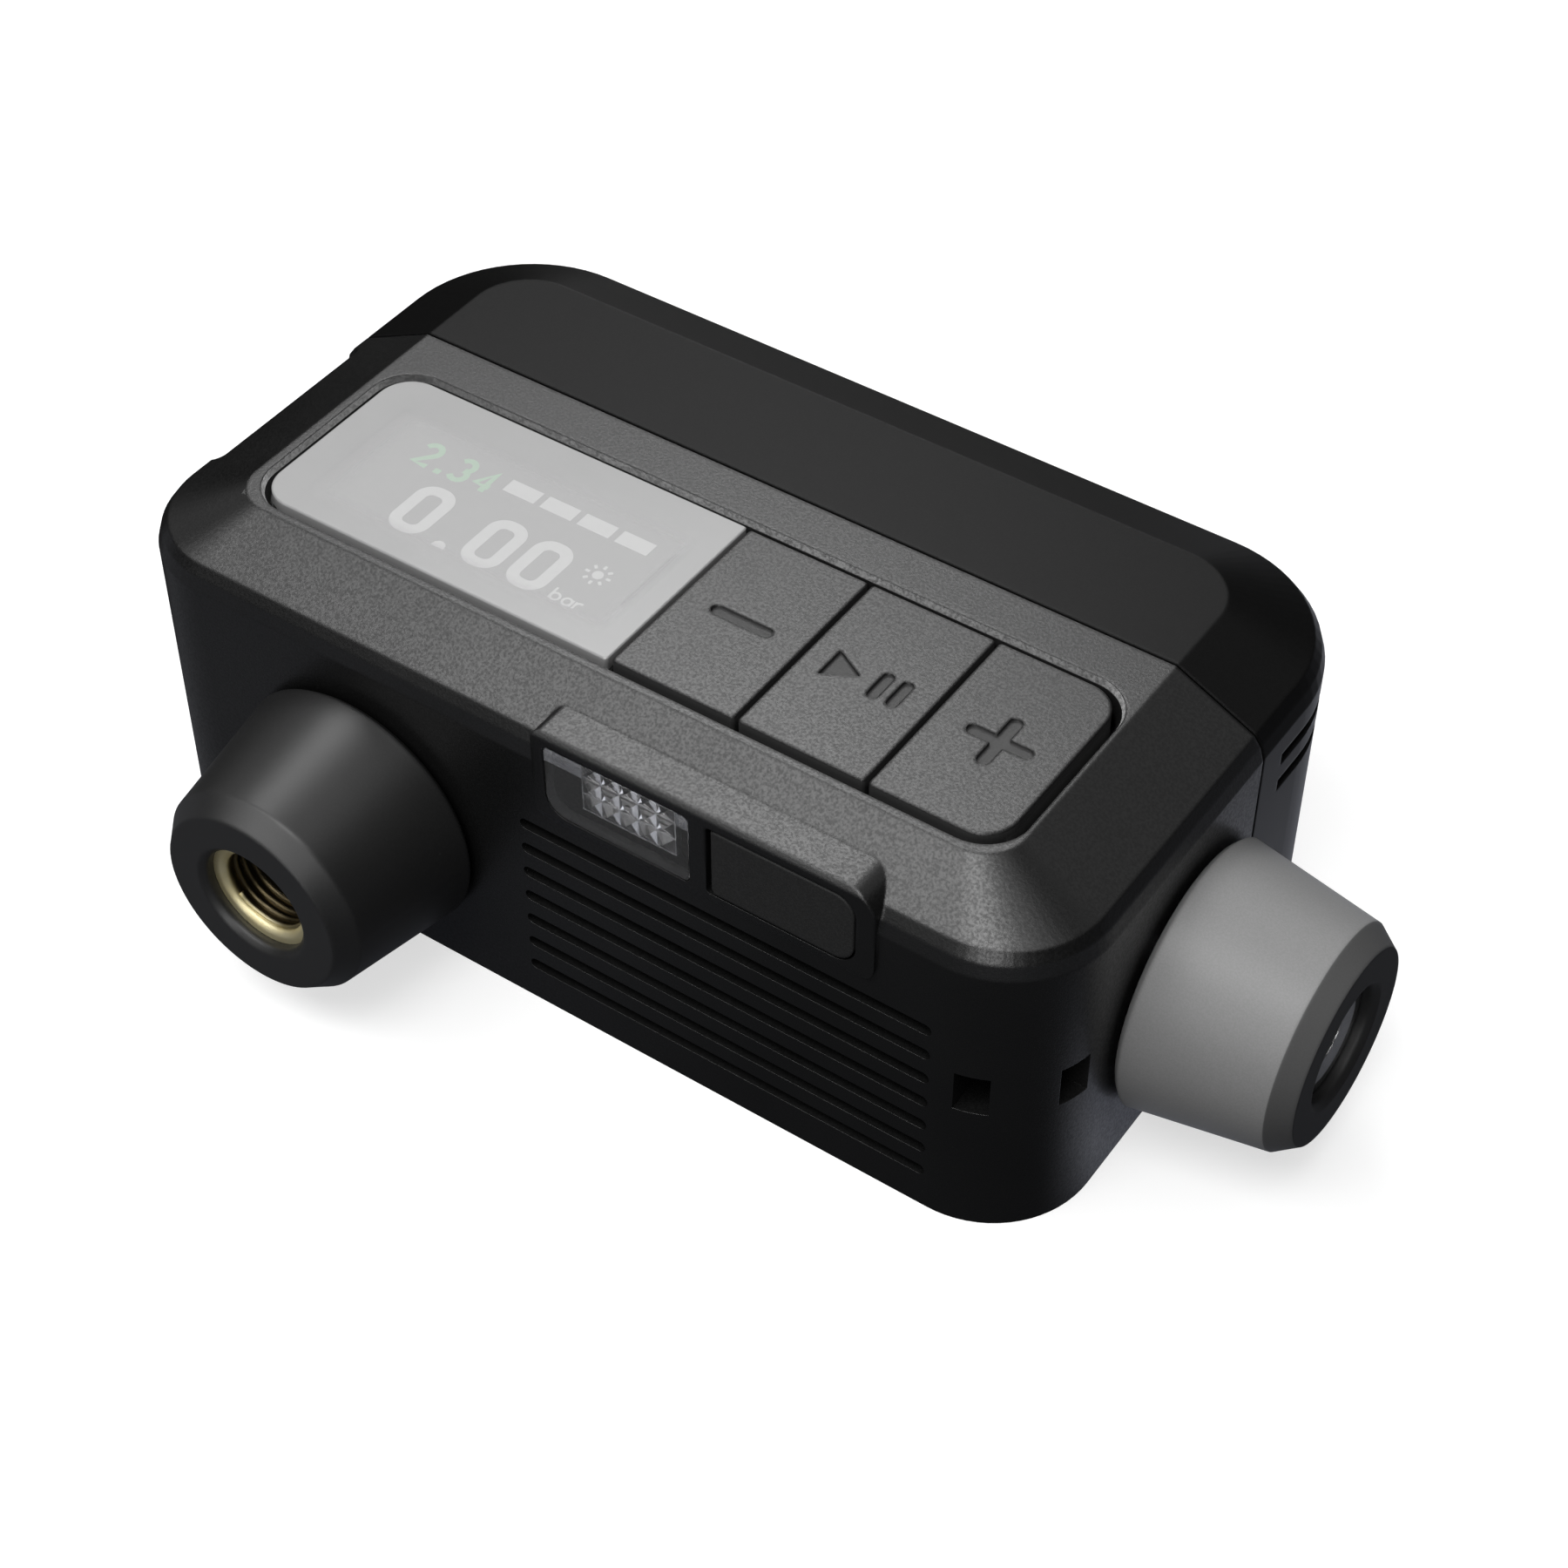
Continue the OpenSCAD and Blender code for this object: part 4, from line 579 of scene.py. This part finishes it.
def display_marks():
    """The reading with its unit and a sun, the small green target, a level bar and a painted shadow: a dimmer
    strip near the field's right edge.
    """
    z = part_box("display_module")[1].z / MM + MARK_RISE
    white = lit("mark_white", grey(0.74))
    green = lit("mark_green", rgb(0.54, 0.68, 0.56))
    # painted shadow: a dimmer glowing grey that stands for the soft shadow on the display's right part
    shade = lit("mark_painted_shadow", grey(0.44))
    bands = []
    for left, right in NOUGHT_SPANS:
        bands += nought(left, right, *NOUGHT_Y, NOUGHT_STROKE)
    bands.append([(-20.0, -13.85), (-18.8, -13.85)] + arc(-19.4, -13.7, 0.6, 0, 180, 6))
    bands += sun(-6.95, -9.35, 8)
    bands += unit_letters(-8.6, -13.6, 1.35, 0.20)
    keep(flat_mesh("display_reading", bands, z, white), "housing")
    bands = small_digit("2", -27.8, TARGET_Y, TARGET_H, TARGET_STROKE)
    bands.append(rectangle(-25.55, -24.95, -6.85, -6.3))
    bands += small_digit("3", -24.3, TARGET_Y, TARGET_H, TARGET_STROKE)
    bands += small_digit("4", -21.9, TARGET_Y, TARGET_H, TARGET_STROKE)
    keep(flat_mesh("display_target", bands, z, green), "housing")
    # painted shadow: the strip near the field's right edge where that shadow lies
    bands = [rectangle(-3.5, -2.45, -11.2, -3.9)]
    keep(flat_mesh("display_painted_shadow", bands, z, shade), "housing")
    level_bar(z, white)


# ---- what geometry nodes make ----

def link(tree, kind, settings=None, inputs=None, out=0):
    """Adds a geometry node, sets it, joins its inputs and returns one of its outputs."""
    made = tree.nodes.new(kind)
    for name, setting in (settings or {}).items():
        setattr(made, name, setting)
    for name, value in (inputs or {}).items():
        if isinstance(value, bpy.types.NodeSocket):
            tree.links.new(value, made.inputs[name])
        else:
            made.inputs[name].default_value = value
    return made.outputs[out]


def grow(name, build, values, material):
    """Runs a new node tree on an empty mesh and returns the plain mesh object that it makes."""
    tree = bpy.data.node_groups.new(name, "GeometryNodeTree")
    tree.interface.new_socket("Geometry", in_out="OUTPUT", socket_type="NodeSocketGeometry")
    for label, (kind, _) in values.items():
        tree.interface.new_socket(label, in_out="INPUT", socket_type=kind)
    last = build(tree, tree.nodes.new("NodeGroupInput").outputs)
    real = link(tree, "GeometryNodeRealizeInstances", None, {0: last})
    painted = link(tree, "GeometryNodeSetMaterial", None, {"Geometry": real, "Material": material})
    tree.links.new(painted, tree.nodes.new("NodeGroupOutput").inputs[0])
    host = bpy.data.objects.new(name, bpy.data.meshes.new(name))
    bpy.context.scene.collection.objects.link(host)
    modifier = host.modifiers.new("grow", "NODES")
    modifier.node_group = tree
    for item in tree.interface.items_tree:
        if item.in_out == "INPUT":
            modifier[item.identifier] = values[item.name][1]
    bpy.context.view_layer.update()
    grown = bpy.data.meshes.new_from_object(host.evaluated_get(bpy.context.evaluated_depsgraph_get()))
    bpy.data.objects.remove(host)
    grown.name = name
    made = bpy.data.objects.new(name, grown)
    bpy.context.scene.collection.objects.link(made)
    return made


def level_bar(z, material):
    """The display's row of level segments."""

    def build(tree, inputs):
        row = link(tree, "GeometryNodeMeshLine", None, {
            "Count": inputs["Count"], "Start Location": inputs["Start"], "Offset": inputs["Step"]})
        segment = link(tree, "GeometryNodeMeshCube", None, {"Size": inputs["Segment"]})
        return link(tree, "GeometryNodeInstanceOnPoints", None, {"Points": row, "Instance": segment})

    wide, high = LEVEL_SIZE
    made = grow("display_level", build, {
        "Count": ("NodeSocketInt", LEVELS),
        "Start": ("NodeSocketVector", (-17.93 * MM, -4.65 * MM, (z - MARK_T / 2) * MM)),
        "Step": ("NodeSocketVector", (LEVEL_STEP * MM, 0, 0)),
        "Segment": ("NodeSocketVector", (wide * MM, high * MM, MARK_T * MM))}, material)
    keep(made, "housing")


def thread(name, body, slot, mount, pitch, turns, ridge):
    """A valve thread: one helical ridge, from near the bottom of its socket towards the mouth."""

    def build(tree, inputs):
        helix = link(tree, "GeometryNodeCurveSpiral", None, {
            "Resolution": 40, "Rotations": inputs["Turns"], "Start Radius": inputs["Radius"],
            "End Radius": inputs["Radius"], "Height": inputs["Height"]})
        profile = link(tree, "GeometryNodeCurvePrimitiveCircle", {"mode": "RADIUS"}, {
            "Resolution": 4, "Radius": inputs["Ridge"]})
        return link(tree, "GeometryNodeCurveToMesh", None, {
            "Curve": helix, "Profile Curve": profile, "Fill Caps": True})

    made = grow(name, build, {
        "Turns": ("NodeSocketFloat", turns),
        "Radius": ("NodeSocketFloat", (mount["dims"]["r_mm"] + 0.01) * MM),
        "Height": ("NodeSocketFloat", pitch * turns * MM),
        "Ridge": ("NodeSocketFloat", ridge * MM)}, materials[slot])
    outward = Vector(mount["axis"])
    bottom = Vector(mount["pos_m"]) - outward * (mount["dims"]["length_mm"] / 2 - 0.15) * MM
    turn = Vector((0, 0, 1)).rotation_difference(outward).to_matrix().to_4x4()
    made.data.transform(Matrix.Translation(bottom) @ turn)
    keep(made, body)


# ---- studio ----

FLOOR_SIZE = 6.0  # m
FLOOR_FRONT_Y = (-22, -12)  # mm, where the floor in front of the object ends
FLOOR_RIGHT_X = (-20, 20)  # mm, where the floor to its right starts
FLOOR_END_X = (48, 62)  # mm, across the side nozzle
FLOOR_NEAR = (110, 150)  # mm from the object's middle
FLOOR_OPEN = (350, 900)
FLOOR_SHINE = 0.62  # how bright the floor is by itself near the object
BOX_SIDE = 0.36  # m
BOX_REACH = 0.85  # m from the object to a softbox
AIM = Vector((0, 0, 0.02))
CAMERA_PLACE = (0.1084, -0.15256, 0.19336)
CAMERA_DOWN, CAMERA_ROUND, CAMERA_ROLL = 45.18, 34.31, 0.186  # degrees
FOCAL_LENGTH, SENSOR = 71.815, 36.0  # mm

# Each softbox's direction from the object, and how bright it is.
SOFTBOXES = {
    "front_middle": ((-0.33, -0.46, 0.82), 4.8),
    "front_over": ((0.10, -0.42, 0.90), 8.0),
    "front_left": ((-0.66, -0.42, 0.62), 1.5),
    "front_near": ((0.32, -0.86, 0.40), 4.5),
    "front_low": ((-0.36, -0.76, 0.54), 0.6),
    "back_high": ((-0.38, 0.38, 0.84), 7.7),
    "back_middle": ((-0.05, 0.66, 0.75), 0.9),
    "back_left": ((-0.48, 0.62, 0.62), 0.8),
    "right_over": ((0.42, -0.12, 0.90), 1.6),
    "left_low": ((-0.88, 0.10, 0.45), 0.4),
    "back_right": ((0.42, 0.62, 0.66), 0.45),
    "back_low": ((-0.42, 0.88, 0.24), 1.35)}


def ray(start, kind):
    """1 for rays of one kind, 0 for the others."""
    return start.node("ShaderNodeLightPath", out=kind)


def seen_directly(start):
    """1 for what the camera sees, also through the clear lens."""
    return start.maths("MAXIMUM", ray(start, "Is Camera Ray"), ray(start, "Is Transmission Ray"))


def reflected_share(start, x, y, reach):
    """The share of the floor that glossy surfaces see: most beside the right end, none behind on the left."""
    front = 1 - y.between(*FLOOR_FRONT_Y)
    right = x.between(*FLOOR_RIGHT_X)
    near = 1 - reach.between(*FLOOR_NEAR)
    behind_right = (1 - front) * right * (0.42 - 0.34 * x.between(*FLOOR_END_X))
    beside = front * (0.095 - 0.060 * right) + behind_right
    beyond = 0.16 * start.maths("MAXIMUM", front, right)
    return near * beside + (1 - near) * beyond


def studio_floor():
    """A pale floor that the camera sees white, save for the object's shadow.

    Reflections see it dimmed, and it hardly lights the object, so near black stays near black."""
    material, start = new_material("studio_floor")
    here, (x, y, _) = places(start)
    reach = start.node("ShaderNodeVectorMath", {"operation": "LENGTH"}, {0: here}, out=1) / MM
    glossy = ray(start, "Is Glossy Ray")
    seen = start.maths("MAXIMUM", seen_directly(start), reflected_share(start, x, y, reach) * glossy)
    drift = grain(start, here, 400.0)
    glow = start.node("ShaderNodeEmission", None, {
        "Color": glossy.blend(grey(1.0), rgb(0.90, 0.95, 1.15)),
        "Strength": (FLOOR_SHINE + 0.45 * reach.between(*FLOOR_OPEN)) * seen})
    paint = start.node("ShaderNodeBsdfDiffuse", None, {
        "Color": (seen * (0.98 + 0.02 * drift)).blend(grey(0.004), grey(0.5))})
    close(start, start.node("ShaderNodeAddShader", None, {0: glow, 1: paint}))
    bpy.ops.mesh.primitive_plane_add(size=FLOOR_SIZE, location=(0, 0, 0))
    floor = bpy.context.object
    floor.name = "studio_floor"
    floor.data.materials.append(material)


def studio_air():
    """White behind everything for the camera, and nearly dark as a light."""
    world = bpy.data.worlds.new("studio_air")
    world.use_nodes = True
    world.node_tree.nodes.clear()
    start = Value(world.node_tree)
    air = start.node("ShaderNodeBackground", None, {
        "Color": grey(1.0), "Strength": start.maths("MAXIMUM", seen_directly(start), 0.004)})
    start.node("ShaderNodeOutputWorld", None, {"Surface": air})
    bpy.context.scene.world = world


def softbox(name, toward, radiance):
    """A square area lamp, seen from the object in one direction, of an even brightness."""
    lamp = bpy.data.lights.new(name, "AREA")
    lamp.shape = "SQUARE"
    lamp.size = BOX_SIDE
    lamp.energy = radiance * math.pi * BOX_SIDE * BOX_SIDE
    made = bpy.data.objects.new(name, lamp)
    away = Vector(toward).normalized()
    made.location = BOX_REACH * away + AIM
    made.rotation_euler = (-away).to_track_quat("-Z", "Y").to_euler()
    bpy.context.scene.collection.objects.link(made)


def studio_camera():
    """Looks down on the front right corner."""
    lens = bpy.data.cameras.new("camera")
    lens.sensor_width = SENSOR
    lens.lens = FOCAL_LENGTH
    lens.clip_start = 0.01
    made = bpy.data.objects.new("camera", lens)
    turn = Euler((math.radians(90 - CAMERA_DOWN), 0, math.radians(CAMERA_ROUND))).to_matrix().to_4x4()
    roll = Matrix.Rotation(math.radians(CAMERA_ROLL), 4, "Z")
    made.matrix_world = Matrix.Translation(CAMERA_PLACE) @ turn @ roll
    bpy.context.scene.collection.objects.link(made)
    bpy.context.scene.camera = made


# ---- the scene ----

dress_nodes()
display_marks()
thread("front_thread", "front_nozzle", "valve_brass", mounts["front_valve_socket"], 0.794, 4.4, 0.30)
thread("side_thread", "side_nozzle", "bright_steel", mounts["side_valve_socket"], 1.0, 3.4, 0.28)
studio_floor()
studio_air()
for box_name, (box_toward, box_radiance) in SOFTBOXES.items():
    softbox(box_name, box_toward, box_radiance)
studio_camera()
bpy.context.scene.view_settings.view_transform = "Standard"
